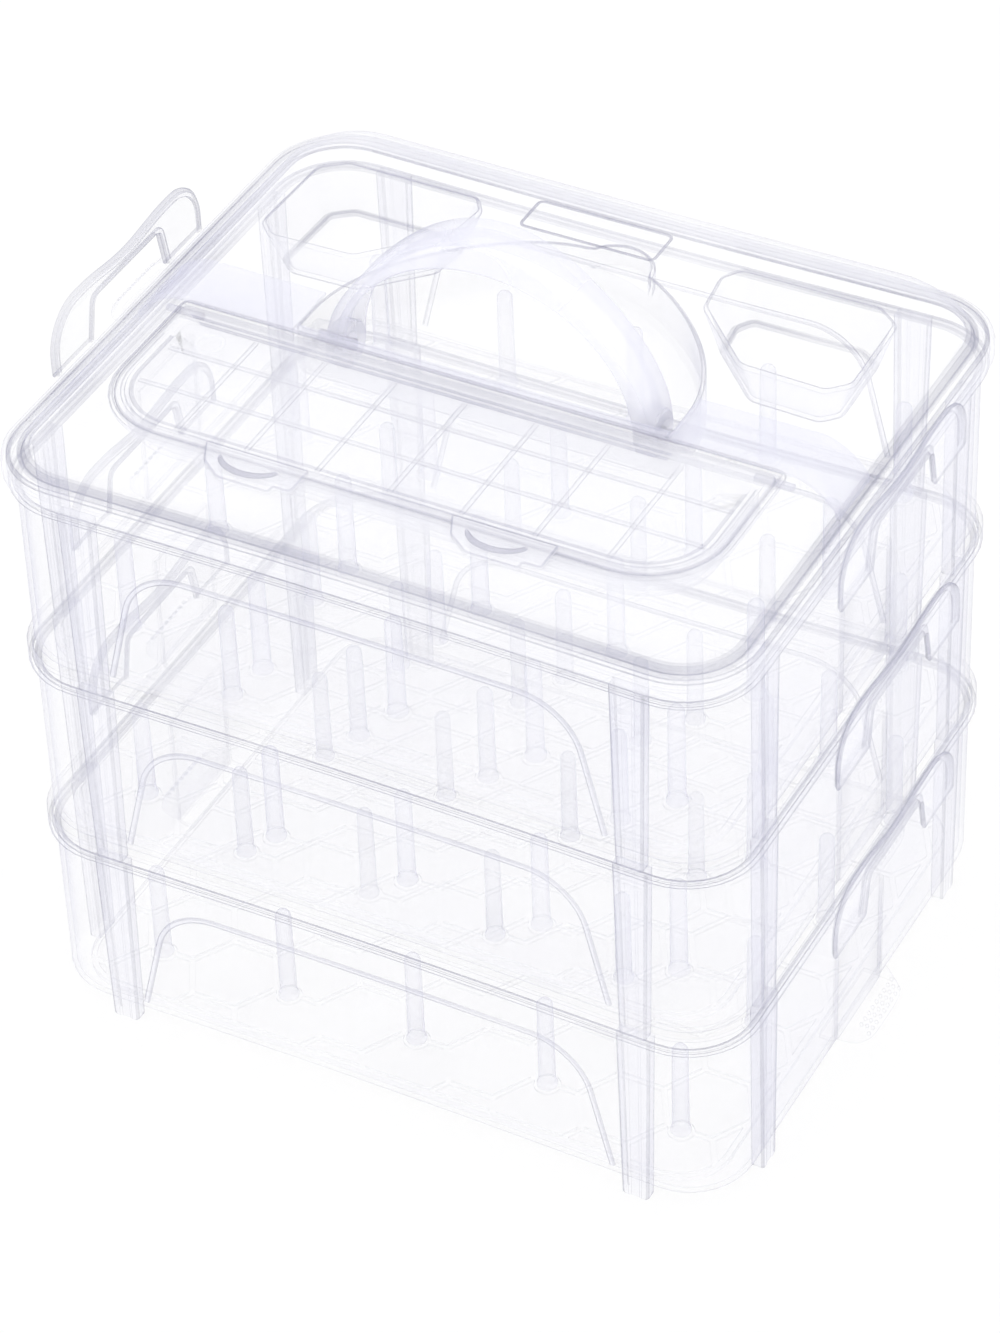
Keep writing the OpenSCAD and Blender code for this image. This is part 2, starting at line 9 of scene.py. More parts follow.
import logging
import math
from collections.abc import Callable
from dataclasses import dataclass
from enum import Enum

import bmesh
import bpy
import numpy as np
from mathutils import Matrix, Vector
from mathutils.geometry import delaunay_2d_cdt


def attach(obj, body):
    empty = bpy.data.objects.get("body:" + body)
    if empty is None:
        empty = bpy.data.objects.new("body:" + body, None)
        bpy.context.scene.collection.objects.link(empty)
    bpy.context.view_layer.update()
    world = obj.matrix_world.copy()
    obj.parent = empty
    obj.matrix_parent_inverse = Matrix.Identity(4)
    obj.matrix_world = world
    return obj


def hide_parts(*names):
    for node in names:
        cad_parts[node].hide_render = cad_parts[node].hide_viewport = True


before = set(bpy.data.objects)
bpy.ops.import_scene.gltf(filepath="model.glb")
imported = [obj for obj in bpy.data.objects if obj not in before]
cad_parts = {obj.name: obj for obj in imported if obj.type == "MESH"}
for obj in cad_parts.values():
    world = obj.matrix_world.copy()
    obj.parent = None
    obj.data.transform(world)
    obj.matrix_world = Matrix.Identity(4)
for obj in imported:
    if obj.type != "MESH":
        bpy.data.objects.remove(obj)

LOG = logging.getLogger("spool_box")
MM = 0.001
LEVELS = ("bottom", "middle", "top")
X_AXIS, Y_AXIS, Z_AXIS = np.eye(3)

# Main sizes, the same as in the part's source
BOX_W, BOX_D, CORNER = 260.0, 216.0, 27.0
PITCH, FOOT, WALL = 70.6, 5.4, 1.6
RIM = PITCH + FOOT
BEND = RIM - 26.0
LID = 3 * PITCH + FOOT
FLANGE = LID + 4.3
DECK = FLANGE + 12.5
HANDLE_Y, PIVOT_Z, PIN_BORE = -3.0, 224.5, 2.05

# Limits of the mesh work
SEAM = 0.02  # rows narrower than this, in mm, are closed seams and not roundings
MERGE = 2e-6  # points nearer to each other than this, in metres, become one
BEVEL_TURN = 50.0  # edges that turn by more degrees than this get the fine rounding

# Optics and patterns of the finishes
IOR = 1.49  # under the 1.59 of polystyrene: here it sets only the strength of the sheen
FLOW_SCALE = 22.0  # per metre: flow marks of the melt, about 45 mm wide
PAPER_SCALE = 420.0  # per metre: grain of 2.4 mm, coarser than real fibres, which wouldn't show


class Side(Enum):
    """Left or right half of the box, with the sign of its X."""

    LEFT = -1
    RIGHT = 1

    @property
    def word(self) -> str:
        """Name of the side as it stands in node names."""
        return self.name.lower()


def srgb(code: str) -> tuple[float, float, float, float]:
    """Turns an sRGB hex colour into the linear colour that Blender takes.

    Args:
        code: six hex digits, red first.

    Returns:
        Linear red, green and blue with an alpha of 1: each channel c is c / 12.92 where it
        is dark and ((c + 0.055) / 1.055) to the power 2.4 elsewhere.
    """
    raw = np.array([int(code[i : i + 2], 16) for i in (0, 2, 4)]) / 255.0
    light = np.where(raw <= 0.04045, raw / 12.92, ((raw + 0.055) / 1.055) ** 2.4)
    return (float(light[0]), float(light[1]), float(light[2]), 1.0)


# Finishes


class Nodes:
    """Node tree of a material or of the world, with one short way to add and link nodes."""

    def __init__(self, owner: bpy.types.Material | bpy.types.World, output: str) -> None:
        """Empties the tree of its owner and adds the output node.

        Args:
            owner: material or world that the nodes belong to.
            output: type of its output node without the ShaderNode prefix.
        """
        owner.use_nodes = True
        self.tree = owner.node_tree
        self.tree.nodes.clear()
        self.output = self.add(output)

    def add(self, kind: str, inputs: dict | tuple = (), **settings: object) -> bpy.types.Node:
        """Adds one node.

        Args:
            kind: node type without its ShaderNode prefix.
            inputs: socket name or index to a source socket or a plain value, or only such
                sources and values, for the first sockets in their order.
            settings: properties of the node.

        Returns:
            The new node.
        """
        node = self.tree.nodes.new("ShaderNode" + kind)
        for key, value in settings.items():
            setattr(node, key, value)
        for key, value in inputs.items() if isinstance(inputs, dict) else enumerate(inputs):
            if isinstance(value, bpy.types.NodeSocket):
                self.tree.links.new(value, node.inputs[key])
            else:
                node.inputs[key].default_value = value
        return node

    def surface(self, shader: bpy.types.Node) -> None:
        """Links the finished shader to the output."""
        self.tree.links.new(shader.outputs[0], self.output.inputs["Surface"])


@dataclass(frozen=True)
class ClearPlastic:
    """Moulded clear plastic: nearly invisible face on, and tinted where it is seen edge on.

    The tint deepens towards grazing view, as in real clear mouldings whose thick edges gather
    the colour of the whole wall. Flow marks of the melt vary the haze and the gloss.
    """

    name: str
    face: str = "FAFAFF"  # colour face on
    edge: str = "B2B2D4"  # colour edge on
    haze: float = 0.042  # opacity face on
    dense: float = 0.6  # opacity edge on
    power: float = 4.0  # the higher it is, the closer to the edge the change stays
    rough: float = 0.14  # roughness between flow marks
    upright: float = 0.0  # opacity added on steep faces

    def build(self) -> bpy.types.Material:
        """Makes the material.

        Returns:
            A Principled material whose alpha runs from haze (face on) to dense (edge on) as
            facing to the given power, times a flow pattern of low noise. Where upright is
            given, that much is added on steep faces, which makes fine raised lines show.
        """
        material = bpy.data.materials.new(self.name)
        n = Nodes(material, "OutputMaterial")
        place = n.add("TexCoord").outputs["Object"]
        facing = n.add("LayerWeight", {"Blend": 0.5}).outputs["Facing"]
        curve = n.add("Math", (facing, self.power), operation="POWER").outputs[0]
        noise = {"Vector": place, "Scale": FLOW_SCALE, "Detail": 1.0}
        flow = n.add("TexNoise", noise).outputs["Fac"]
        cloud = n.add("MapRange", (flow, 0.3, 0.7, 0.72, 1.28)).outputs[0]
        alpha = n.add("MapRange", (curve, 0.0, 1.0, self.haze, self.dense)).outputs[0]
        alpha = n.add("Math", (alpha, cloud), operation="MULTIPLY", use_clamp=True).outputs[0]
        if self.upright:
            lean = n.add("SeparateXYZ", (n.add("TexCoord").outputs["Normal"],)).outputs[2]
            level = n.add("Math", (lean,), operation="ABSOLUTE").outputs[0]
            steep = n.add("MapRange", (level, 0.0, 0.9, self.upright, 0.0)).outputs[0]
            alpha = n.add("Math", (alpha, steep), operation="ADD", use_clamp=True).outputs[0]
        colours = {"Factor": curve, 6: srgb(self.face), 7: srgb(self.edge)}
        tint = n.add("Mix", colours, data_type="RGBA").outputs[2]
        rough = n.add("MapRange", (flow, 0.25, 0.75, self.rough * 0.7, self.rough * 1.5)).outputs[0]
        looks = {"Base Color": tint, "Roughness": rough, "IOR": IOR, "Alpha": alpha}
        n.surface(n.add("BsdfPrincipled", looks))
        material.use_backface_culling = False
        material.surface_render_method = "BLENDED"
        return material


@dataclass(frozen=True)
class Backdrop:
    """Matt white paper sweep that keeps a soft shadow and shows as white to the camera."""

    name: str = "matt_white_paper"
    lift: float = 0.9  # share of plain white that the camera and mirrors see

    def build(self) -> bpy.types.Material:
        """Makes the material.

        Returns:
            Diffuse paper with a fine grain; camera, glossy and transmission rays see it
            mixed with plain white by the lift, and all other rays see the paper alone.
        """
        material = bpy.data.materials.new(self.name)
        n = Nodes(material, "OutputMaterial")
        place = n.add("TexCoord").outputs["Object"]
        grain = n.add("TexNoise", {"Vector": place, "Scale": PAPER_SCALE, "Detail": 2.0})
        colours = {"Factor": grain.outputs["Fac"], 6: srgb("FBFBFC"), 7: srgb("FFFFFF")}
        paper = n.add("Mix", colours, data_type="RGBA")
        diffuse = n.add("BsdfDiffuse", (paper.outputs[2],))
        path = n.add("LightPath").outputs
        seen = n.add("Math", (path["Is Camera Ray"], path["Is Glossy Ray"]), operation="MAXIMUM")
        seen = n.add("Math", (seen.outputs[0], path["Is Transmission Ray"]), operation="MAXIMUM")
        white = n.add("Emission", (srgb("FFFFFF"), 1.0))
        share = n.add("Math", (seen.outputs[0], self.lift), operation="MULTIPLY")
        n.surface(n.add("MixShader", (share.outputs[0], diffuse.outputs[0], white.outputs[0])))
        return material


class Finish:
    """The finishes of the box, one per kind of moulding, each made once."""

    def __init__(self) -> None:
        """Builds the materials."""
        # A thin moulded wall lets nearly all light through and greys only towards its edge
        self.wall = ClearPlastic("moulded_clear_polystyrene_wall").build()
        # Small roundings bend light away from the eye, so they read as fine glossy grey lines: this grey is
        # painted shade, not a tint of the plastic
        self.line = ClearPlastic(
            "polished_clear_polystyrene_edge",
            face="A8A8BC", edge="7A7A94", haze=0.24, dense=0.78, power=2.2, rough=0.06,
        ).build()
        # Pillars and beads are thicker than a wall, which gives them a pale lavender body
        self.rib = ClearPlastic(
            "moulded_clear_polystyrene_rib", face="EAEAF9", edge="B2B2D2", haze=0.1, dense=0.48, power=2.6
        ).build()
        # The lid has a slight haze, which veils what stands in the tray below it
        self.lid = ClearPlastic("moulded_clear_polystyrene_lid", haze=0.125, rough=0.1).build()
        # The band is frosted in the mould, so it scatters light and looks milky
        self.band = ClearPlastic(
            "frosted_clear_polystyrene_band",
            face="ECECFA", edge="BABAD8", haze=0.16, dense=0.42, power=2.0, rough=0.35,
        ).build()
        # The cover is as hazy as the lid and glossier, so its rim shows sharper
        self.cover = ClearPlastic(
            "moulded_clear_polystyrene_cover", haze=0.125, dense=0.7, rough=0.08
        ).build()
        # Frosted pegs scatter light all round, which shows them as pale rods
        self.peg = ClearPlastic(
            "frosted_clear_polystyrene_peg",
            face="F0F0FC", edge="C4C4DE", haze=0.12, dense=0.4, power=1.8, rough=0.3,
        ).build()
        # A board is clear face on, and the steep sides of its cells show as thin lines
        self.board = ClearPlastic(
            "moulded_clear_polystyrene_board", edge="9C9CBC", haze=0.03, dense=0.5, power=3.0, upright=0.13
        ).build()
        # Tongues and lips are thin and small, the clearest pieces of the box
        self.latch = ClearPlastic(
            "moulded_clear_polystyrene_latch",
            face="F6F6FF", edge="B0B0D0", haze=0.03, dense=0.35, power=3.0,
        ).build()
        # Polypropylene is milkier than polystyrene, so the handle stands out from the lid
        self.handle = ClearPlastic(
            "moulded_clear_polypropylene_handle",
            face="F6F6FF", edge="B0B0D0", haze=0.26, dense=0.55, power=2.8, rough=0.2,
        ).build()
        # Solid pins gather more tint than any wall, so they show as small grey rods
        self.pin = ClearPlastic(
            "moulded_clear_polystyrene_pin", face="D2D2E6", edge="9C9CB8", haze=0.2, dense=0.5, power=1.6
        ).build()


# Shapes


def unit(vectors: np.ndarray) -> np.ndarray:
    """Scales the vectors along the last axis to length 1."""
    return vectors / np.linalg.norm(vectors, axis=-1, keepdims=True)


def fillet(points: list[tuple[float, ...]], steps: int = 4) -> np.ndarray:
    """Rounds the corners of an open profile.

    Args:
        points: corners as (a, b, radius); the radius of the first and last is not used.
        steps: points on each rounded corner.

    Returns:
        Array (count, 2): each corner becomes an arc tangent to both of its sides, which
        starts along each side at radius times the tangent of half the turning angle.
    """
    raw = np.array([p[:2] for p in points], float)
    radii = [p[2] if len(p) > 2 else 0.0 for p in points]
    rows = [raw[:1]]
    for i in range(1, len(raw) - 1):
        if radii[i] <= 0:
            rows.append(raw[i : i + 1])
            continue
        back, ahead = unit(raw[i - 1] - raw[i]), unit(raw[i + 1] - raw[i])
        turn = math.pi - math.acos(float(np.clip(back @ ahead, -1, 1)))
        centre = raw[i] + unit(back + ahead) * radii[i] / math.cos(turn / 2)
        start = raw[i] + back * radii[i] * math.tan(turn / 2) - centre
        side = np.array([-start[1], start[0]])
        side = side if side @ back < 0 else -side
        angle = np.linspace(0, turn, steps + 1)[:, None]
        rows.append(centre + np.cos(angle) * start + np.sin(angle) * side)
    rows.append(raw[-1:])
    return np.concatenate(rows)


def soft_polygon(corners: list[tuple[float, float, float]], steps: int = 5) -> np.ndarray:
    """Closed outline with rounded corners.

    Args:
        corners: corners (x, y, radius), counter-clockwise.
        steps: points on each rounded corner.

    Returns:
        Array (count, 2), each corner rounded as in fillet().
    """
    ring = [corners[-1], *corners, corners[0]]
    pieces = [fillet(ring[i : i + 3], steps)[1:-1] for i in range(len(corners))]
    return np.concatenate(pieces)


def grow(outline: np.ndarray, step: float) -> np.ndarray:
    """Moves a closed outline outwards along its normals.

    Args:
        outline: points (count, 2), counter-clockwise.
        step: distance of the move, negative for inwards.

    Returns:
        Each point plus step times the sum of the normals of its two sides, over half that
        sum squared, so that the sides move by the step; sharp corners move less.
    """
    ahead = unit(np.roll(outline, -1, axis=0) - outline)
    back = unit(outline - np.roll(outline, 1, axis=0))
    normal = np.stack([(ahead + back)[:, 1], -(ahead + back)[:, 0]], axis=1)
    scale = (normal * normal).sum(axis=1, keepdims=True) / 2
    return outline + step * normal / np.maximum(scale, 0.8)


def inside(points: np.ndarray, outline: np.ndarray) -> np.ndarray:
    """Tells which points lie in a closed outline.

    Args:
        points: points (count, 2).
        outline: corners (count, 2).

    Returns:
        True where a ray to the right crosses an odd number of the outline's sides.
    """
    x, y = points[:, 0][:, None], points[:, 1][:, None]
    x0, y0 = outline[:, 0][None], outline[:, 1][None]
    x1, y1 = np.roll(outline[:, 0], -1)[None], np.roll(outline[:, 1], -1)[None]
    spans = (y0 > y) != (y1 > y)
    with np.errstate(divide="ignore", invalid="ignore"):
        cross = x < (x1 - x0) * (y - y0) / (y1 - y0) + x0
    return (spans & cross).sum(axis=1) % 2 == 1


def raised(outline: np.ndarray, z: float) -> np.ndarray:
    """Puts a flat outline at a height."""
    return np.column_stack([outline, np.full(len(outline), z)])


def resample(line: np.ndarray, count: int) -> np.ndarray:
    """Spreads points evenly along an open line.

    Args:
        line: points (count, axes).
        count: number of points wanted.

    Returns:
        Points at equal steps of the line's length, between its own by straight lines.
    """
    step = np.concatenate([[0.0], np.cumsum(np.linalg.norm(np.diff(line, axis=0), axis=1))])
    at = np.linspace(0, step[-1], count)
    return np.stack([np.interp(at, step, line[:, k]) for k in range(line.shape[1])], axis=1)


def bead(path: np.ndarray, side: np.ndarray, up: np.ndarray, section: np.ndarray) -> np.ndarray:
    """Carries a closed section along a path.

    Args:
        path: points (count, 3).
        side: direction of the section's first axis at each point, (count, 3) or (3,).
        up: direction of the section's second axis, the same way.
        section: closed outline (points, 2).

    Returns:
        Rings (count, points, 3): path point plus first axis times side plus second times up.
    """
    side = np.broadcast_to(side, path.shape)[:, None]
    up = np.broadcast_to(up, path.shape)[:, None]
    return path[:, None] + section[None, :, :1] * side + section[None, :, 1:] * up


def bowed(points: np.ndarray, depth: float = 1.8) -> np.ndarray:
    """Draws the front and rear walls inwards between the corners, as the real mouldings are.

    Args:
        points: array of points, last axis x, y, z.
        depth: deepest shift at the middle of a wall.

    Returns:
        The points with y moved inwards by depth times (1 - (x / half width) squared) squared
        times (y / half depth) to the sixth power.
    """
    out = np.array(points, float)
    x = np.clip(np.abs(out[..., 0]) / (BOX_W / 2), 0, 1)
    y = np.clip(np.abs(out[..., 1]) / (BOX_D / 2), 0, 1)
    out[..., 1] -= np.sign(out[..., 1]) * depth * (1 - x**2) ** 2 * y**6
    return out


class Outline:
    """Rounded rectangle whose points match from size to size, counter-clockwise from the front right."""

    def __init__(self, marks_x: np.ndarray, marks_y: np.ndarray, steps: int = 9) -> None:
        """Works out how each point follows the sides and radii.

        Args:
            marks_x: fixed X of points on the front and back sides.
            marks_y: fixed Y of points on the left and right sides.
            steps: points on each corner.
        """
        arc = np.radians(np.linspace(0, 90, steps + 1))
        rows: list[np.ndarray] = []
        kinds: list[str] = []
        marks = {"right": marks_y, "back": marks_x[::-1], "left": marks_y[::-1], "front": marks_x}
        for k, (side, along) in enumerate(marks.items()):
            straight = np.zeros((len(along), 6))
            straight[:, 1 if side in ("right", "left") else 0] = along
            angle = arc + k * math.pi / 2
            corner = np.zeros((len(arc), 6))
            corner[:, 2] = 1 if k in (0, 3) else -1
            corner[:, 3] = 1 if k in (0, 1) else -1
            corner[:, 4], corner[:, 5] = np.cos(angle), np.sin(angle)
            rows += [straight, corner]
            kinds += [side] * len(along) + ["corner"] * len(arc)
        table = np.concatenate(rows)
        self.mark, self.sign, self.arc = table[:, 0:2], table[:, 2:4], table[:, 4:6]
        self.sides = np.array(kinds)

    def rings(
        self,
        half_x: np.ndarray,
        front: np.ndarray,
        back: np.ndarray,
        radius_front: np.ndarray,
        radius_back: np.ndarray,
        z: np.ndarray,
    ) -> np.ndarray:
        """Places one ring per entry of the arguments.

        Args:
            half_x: half width of each ring.
            front: Y of its front side.
            back: Y of its back side.
            radius_front: radius of its front corners.
            radius_back: radius of its back corners.
            z: height of each ring.

        Returns:
            Array (rings, points, 3). A corner point is its corner's centre plus radius times
            (cosine, sine); a side point keeps its mark and takes the side's own distance.
        """
        half_x, front, back, radius_front, radius_back, z = (
            np.atleast_1d(np.asarray(v, float))[:, None]
            for v in np.broadcast_arrays(half_x, front, back, radius_front, radius_back, z)
        )
        radius = np.where(self.sign[:, 1] > 0, radius_back, radius_front)
        edge_y = np.where(self.sign[:, 1] > 0, back, front)
        x = self.sign[:, 0] * (half_x - radius) + radius * self.arc[:, 0]
        y = edge_y - self.sign[:, 1] * radius + radius * self.arc[:, 1]
        x = np.where(self.sides == "right", half_x, np.where(self.sides == "left", -half_x, x))
        y = np.where(self.sides == "front", front, np.where(self.sides == "back", back, y))
        x = np.where(np.isin(self.sides, ("front", "back")), self.mark[:, 0], x)
        y = np.where(np.isin(self.sides, ("left", "right")), self.mark[:, 1], y)
        return np.stack([x, y, np.broadcast_to(z, x.shape)], axis=2)

    def inset(self, section: np.ndarray, least: float = 2.0) -> np.ndarray:
        """Carries a section round the box.

        Args:
            section: points (distance inside the flange edge, height).
            least: smallest corner radius.

        Returns:
            Rings whose corner radius is the box's own less the distance.
        """
        d = section[:, 0]
        radius = np.maximum(CORNER - d, least)
        half_y = BOX_D / 2 - d
        return self.rings(BOX_W / 2 - d, -half_y, half_y, radius, radius, section[:, 1])


class Skin:
    """Gathers the surfaces of one piece and makes its mesh."""

    def __init__(self, name: str) -> None:
        """Starts an empty piece.

        Args:
            name: name that its object gets.
        """
        self.name = name
        self.points: list[np.ndarray] = []
        self.faces: list[list[int]] = []
        self.marks: list[int] = []
        self.count = 0

    def grid(
        self,
        points: np.ndarray,
        wrap_rows: bool = False,
        wrap_columns: bool = False,
        keep: Callable[[np.ndarray], np.ndarray] | None = None,
        fine: float = 0.0,
    ) -> "Skin":
        """Adds a surface from a grid of points.

        Args:
            points: array (rows, columns, 3).
            wrap_rows: joins the last row to the first.
            wrap_columns: joins the last column to the first.
            keep: takes face centres and tells which faces stay.
            fine: rows narrower than this are small roundings and take the grey of the painted edge shade.

        Returns:
            This piece.
        """
        rows, cols = points.shape[:2]
        r = np.arange(rows if wrap_rows else rows - 1)[:, None]
        c = np.arange(cols if wrap_columns else cols - 1)[None]
        up, on = (r + 1) % rows, (c + 1) % cols
        corners = [r * cols + c, r * cols + on, up * cols + on, up * cols + c]
        quads = np.stack(corners, axis=-1).reshape(-1, 4)
        flat = points.reshape(-1, 3)
        width = np.linalg.norm(flat[quads[:, 3]] - flat[quads[:, 0]], axis=1)
        narrow = ((width > SEAM) & (width < fine)).astype(int)
        if keep is not None:
            stay = keep(flat[quads].mean(axis=1))
            quads, narrow = quads[stay], narrow[stay]
        return self._store(flat, (quads + self.count).tolist(), narrow.tolist())

    def cap(self, ring: np.ndarray, down: bool = False) -> "Skin":
        """Closes a ring with one flat face.

        Args:
            ring: points (count, 3), counter-clockwise from above.
            down: turns the face downwards.

        Returns:
            This piece.
        """
        order = list(range(self.count, self.count + len(ring)))
        return self._store(ring, [order[::-1] if down else order], [0])

    def plate(self, edge: np.ndarray, holes: list[np.ndarray], z: float) -> "Skin":
        """Adds a flat plate with holes.

        Args:
            edge: outer outline (count, 2).
            holes: outlines of the holes.
            z: height of the plate.

        Returns:
            This piece, with the Delaunay triangles whose middle lies in the edge and in no hole.
        """
        loops = [edge, *holes]
        flat = np.concatenate(loops)
        links, start = [], 0
        for loop in loops:
            a = np.arange(len(loop))
            links.extend((np.stack([a, (a + 1) % len(loop)], axis=1) + start).tolist())
            start += len(loop)
        verts, _, tris, *_ = delaunay_2d_cdt([Vector(p) for p in flat.tolist()], links, [], 0, 1e-6)
        points = np.array([v[:] for v in verts])
        tri = np.array(tris)
        middle = points[tri].mean(axis=1)
        good = inside(middle, edge)
        for hole in holes:
            good &= ~inside(middle, hole)
        faces = (tri[good] + self.count).tolist()
        return self._store(raised(points, z), faces, [0] * len(faces))

    def rod(self, rings: np.ndarray, fine: float = 0.0) -> "Skin":
        """Adds a closed solid from matching rings.

        Args:
            rings: array (rings, points, 3); the first and last ring are capped.
            fine: steps between rings narrower than this take the grey of the painted edge shade.

        Returns:
            This piece.
        """
        self.grid(rings, wrap_columns=True, fine=fine)
        self.cap(rings[0], down=True)
        return self.cap(rings[-1])

    def ribbon(self, rings: np.ndarray, fine: float) -> "Skin":
        """Adds a closed bar from matching rings.

        Args:
            rings: array (rings, points, 3); the first and last ring are capped.
            fine: long sides of the bar narrower than this take the grey of the painted edge shade.

        Returns:
            This piece.
        """
        self.grid(rings.transpose(1, 0, 2), wrap_rows=True, fine=fine)
        self.cap(rings[0], down=True)
        return self.cap(rings[-1])

    def lathe(self, profile: np.ndarray, steps: int, centre: np.ndarray, axis: str = "z") -> "Skin":
        """Turns a profile round an axis.

        Args:
            profile: array (count, 2) of radius and height, from the axis to the axis or closed.
            steps: points round the axis.
            centre: point that height 0 of the axis lies on.
            axis: "z", or "x" for a lying piece.

        Returns:
            This piece: each point is (radius cosine, radius sine, height) about the axis.
        """
        turn = np.linspace(0, 2 * math.pi, steps, endpoint=False)
        r, h = profile[:, 0][:, None], profile[:, 1][:, None]
        x, y, z = r * np.cos(turn), r * np.sin(turn), np.broadcast_to(h, (len(profile), steps))
        ring = np.stack([x, y, z] if axis == "z" else [z, x, y], axis=2)
        return self.grid(ring + centre, wrap_columns=True)

    def shifted(self, moves: np.ndarray) -> "Skin":
        """Repeats all that the piece holds.

        Args:
            moves: offsets (count, 3), one for each repeat.

        Returns:
            This piece, which now stands at the offsets only.
        """
        flat = np.concatenate(self.points)
        faces = self.faces
        self.marks = self.marks * len(moves)
        self.points = [(flat[None] + moves[:, None]).reshape(-1, 3)]
        self.faces = [[i + k * len(flat) for i in f] for k in range(len(moves)) for f in faces]
        self.count = len(flat) * len(moves)
        return self

    def warp(self, change: Callable[[np.ndarray], np.ndarray]) -> "Skin":
        """Passes every point through a function of the array of points."""
        self.points = [change(np.concatenate(self.points))]
        return self

    def _store(self, flat: np.ndarray, faces: list[list[int]], marks: list[int]) -> "Skin":
        """Keeps one surface.

        Args:
            flat: its points (count, 3).
            faces: its faces, already counted on from the points that the piece holds.
            marks: 1 for each face that takes the grey of the painted edge shade, else 0.

        Returns:
            This piece.
        """
        self.points.append(np.asarray(flat, float).reshape(-1, 3))
        self.count += len(self.points[-1])
        self.faces.extend(faces)
        self.marks.extend(marks)
        return self

    def make(
        self,
        material: bpy.types.Material,
        line: bpy.types.Material | None = None,
        shell: float = 0.0,
        thin: Callable[[np.ndarray], np.ndarray] | None = None,
        bevel: float = 0.0,
        sharp: float = 32.0,
    ) -> bpy.types.Object:
        """Makes the object.

        Args:
            material: finish of the whole piece.
            line: material of its small roundings and bevels, grey as painted edge shade.
            shell: wall thickness given inwards, for a surface that isn't closed.
            thin: share of that thickness at each point.
            bevel: width of the rounding of hard edges.
            sharp: edges that turn by more degrees than this stay crisp.

        Returns:
            The object, at the origin, with its place in its mesh.
        """
        mesh = bpy.data.meshes.new(self.name)
        mesh.from_pydata((np.concatenate(self.points) * MM).tolist(), [], self.faces)
        mesh.materials.append(material)
        if line is not None:
            mesh.materials.append(line)
            mesh.polygons.foreach_set("material_index", np.array(self.marks, np.int32))
        clean = bmesh.new()
        clean.from_mesh(mesh)
        bmesh.ops.remove_doubles(clean, verts=clean.verts, dist=MERGE)
        bmesh.ops.dissolve_degenerate(clean, edges=clean.edges, dist=MERGE / 2)
        if not shell:
            bmesh.ops.recalc_face_normals(clean, faces=clean.faces)
        clean.to_mesh(mesh)
        clean.free()
        obj = bpy.data.objects.new(self.name, mesh)
        bpy.context.scene.collection.objects.link(obj)
        if shell:
            wall = obj.modifiers.new("wall", "SOLIDIFY")
            wall.thickness, wall.offset = shell * MM, -1.0
            wall.use_quality_normals = True
            if thin is not None:
                wall.vertex_group = self._weigh(obj, thin)
        if bevel:
            edge = obj.modifiers.new("edge", "BEVEL")
            edge.width, edge.segments = bevel * MM, 2
            edge.limit_method, edge.angle_limit = "ANGLE", math.radians(BEVEL_TURN)
            edge.use_clamp_overlap = True
            # The bevels take the grey of the painted edge shade
            edge.material = 0 if line is None else 1
        if obj.modifiers:
            bpy.context.view_layer.update()
            graph = bpy.context.evaluated_depsgraph_get()
            obj.data = bpy.data.meshes.new_from_object(obj.evaluated_get(graph))
            obj.modifiers.clear()
            bpy.data.meshes.remove(mesh)
            obj.data.name = self.name
        data = obj.data
        data.polygons.foreach_set("use_smooth", np.ones(len(data.polygons), bool))
        data.set_sharp_from_angle(angle=math.radians(sharp))
        data.update()
        return obj

    def _weigh(self, obj: bpy.types.Object, share: Callable[[np.ndarray], np.ndarray]) -> str:
        """Stores a share of the wall thickness at each point.

        Args:
            obj: object that is about to get its wall.
            share: takes its points and gives each one's share.

        Returns:
            Name of the vertex group that holds the shares.
        """
        mesh = obj.data
        place = np.zeros(len(mesh.vertices) * 3, np.float32)
        mesh.vertices.foreach_get("co", place)
        shares = share(place.reshape(-1, 3) / MM)
        group = obj.vertex_groups.new(name="thickness")
        for value in np.unique(shares):
            group.add(np.nonzero(shares == value)[0].tolist(), float(value), "REPLACE")
        return group.name


def put(piece: bpy.types.Object, body: str, slot: str, *nodes: str) -> bpy.types.Object:
    """Makes a piece ride on a body and lets it stand for CAD nodes.

    Args:
        piece: finished object.
        body: body that carries it.
        slot: name of a material slot, not used.
        nodes: CAD nodes that it replaces.

    Returns:
        The same object.
    """
    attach(piece, body)
    if nodes:
        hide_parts(*nodes)
    LOG.info("%s: %d faces on %s", piece.name, len(piece.data.polygons), body)
    return piece


# Trays


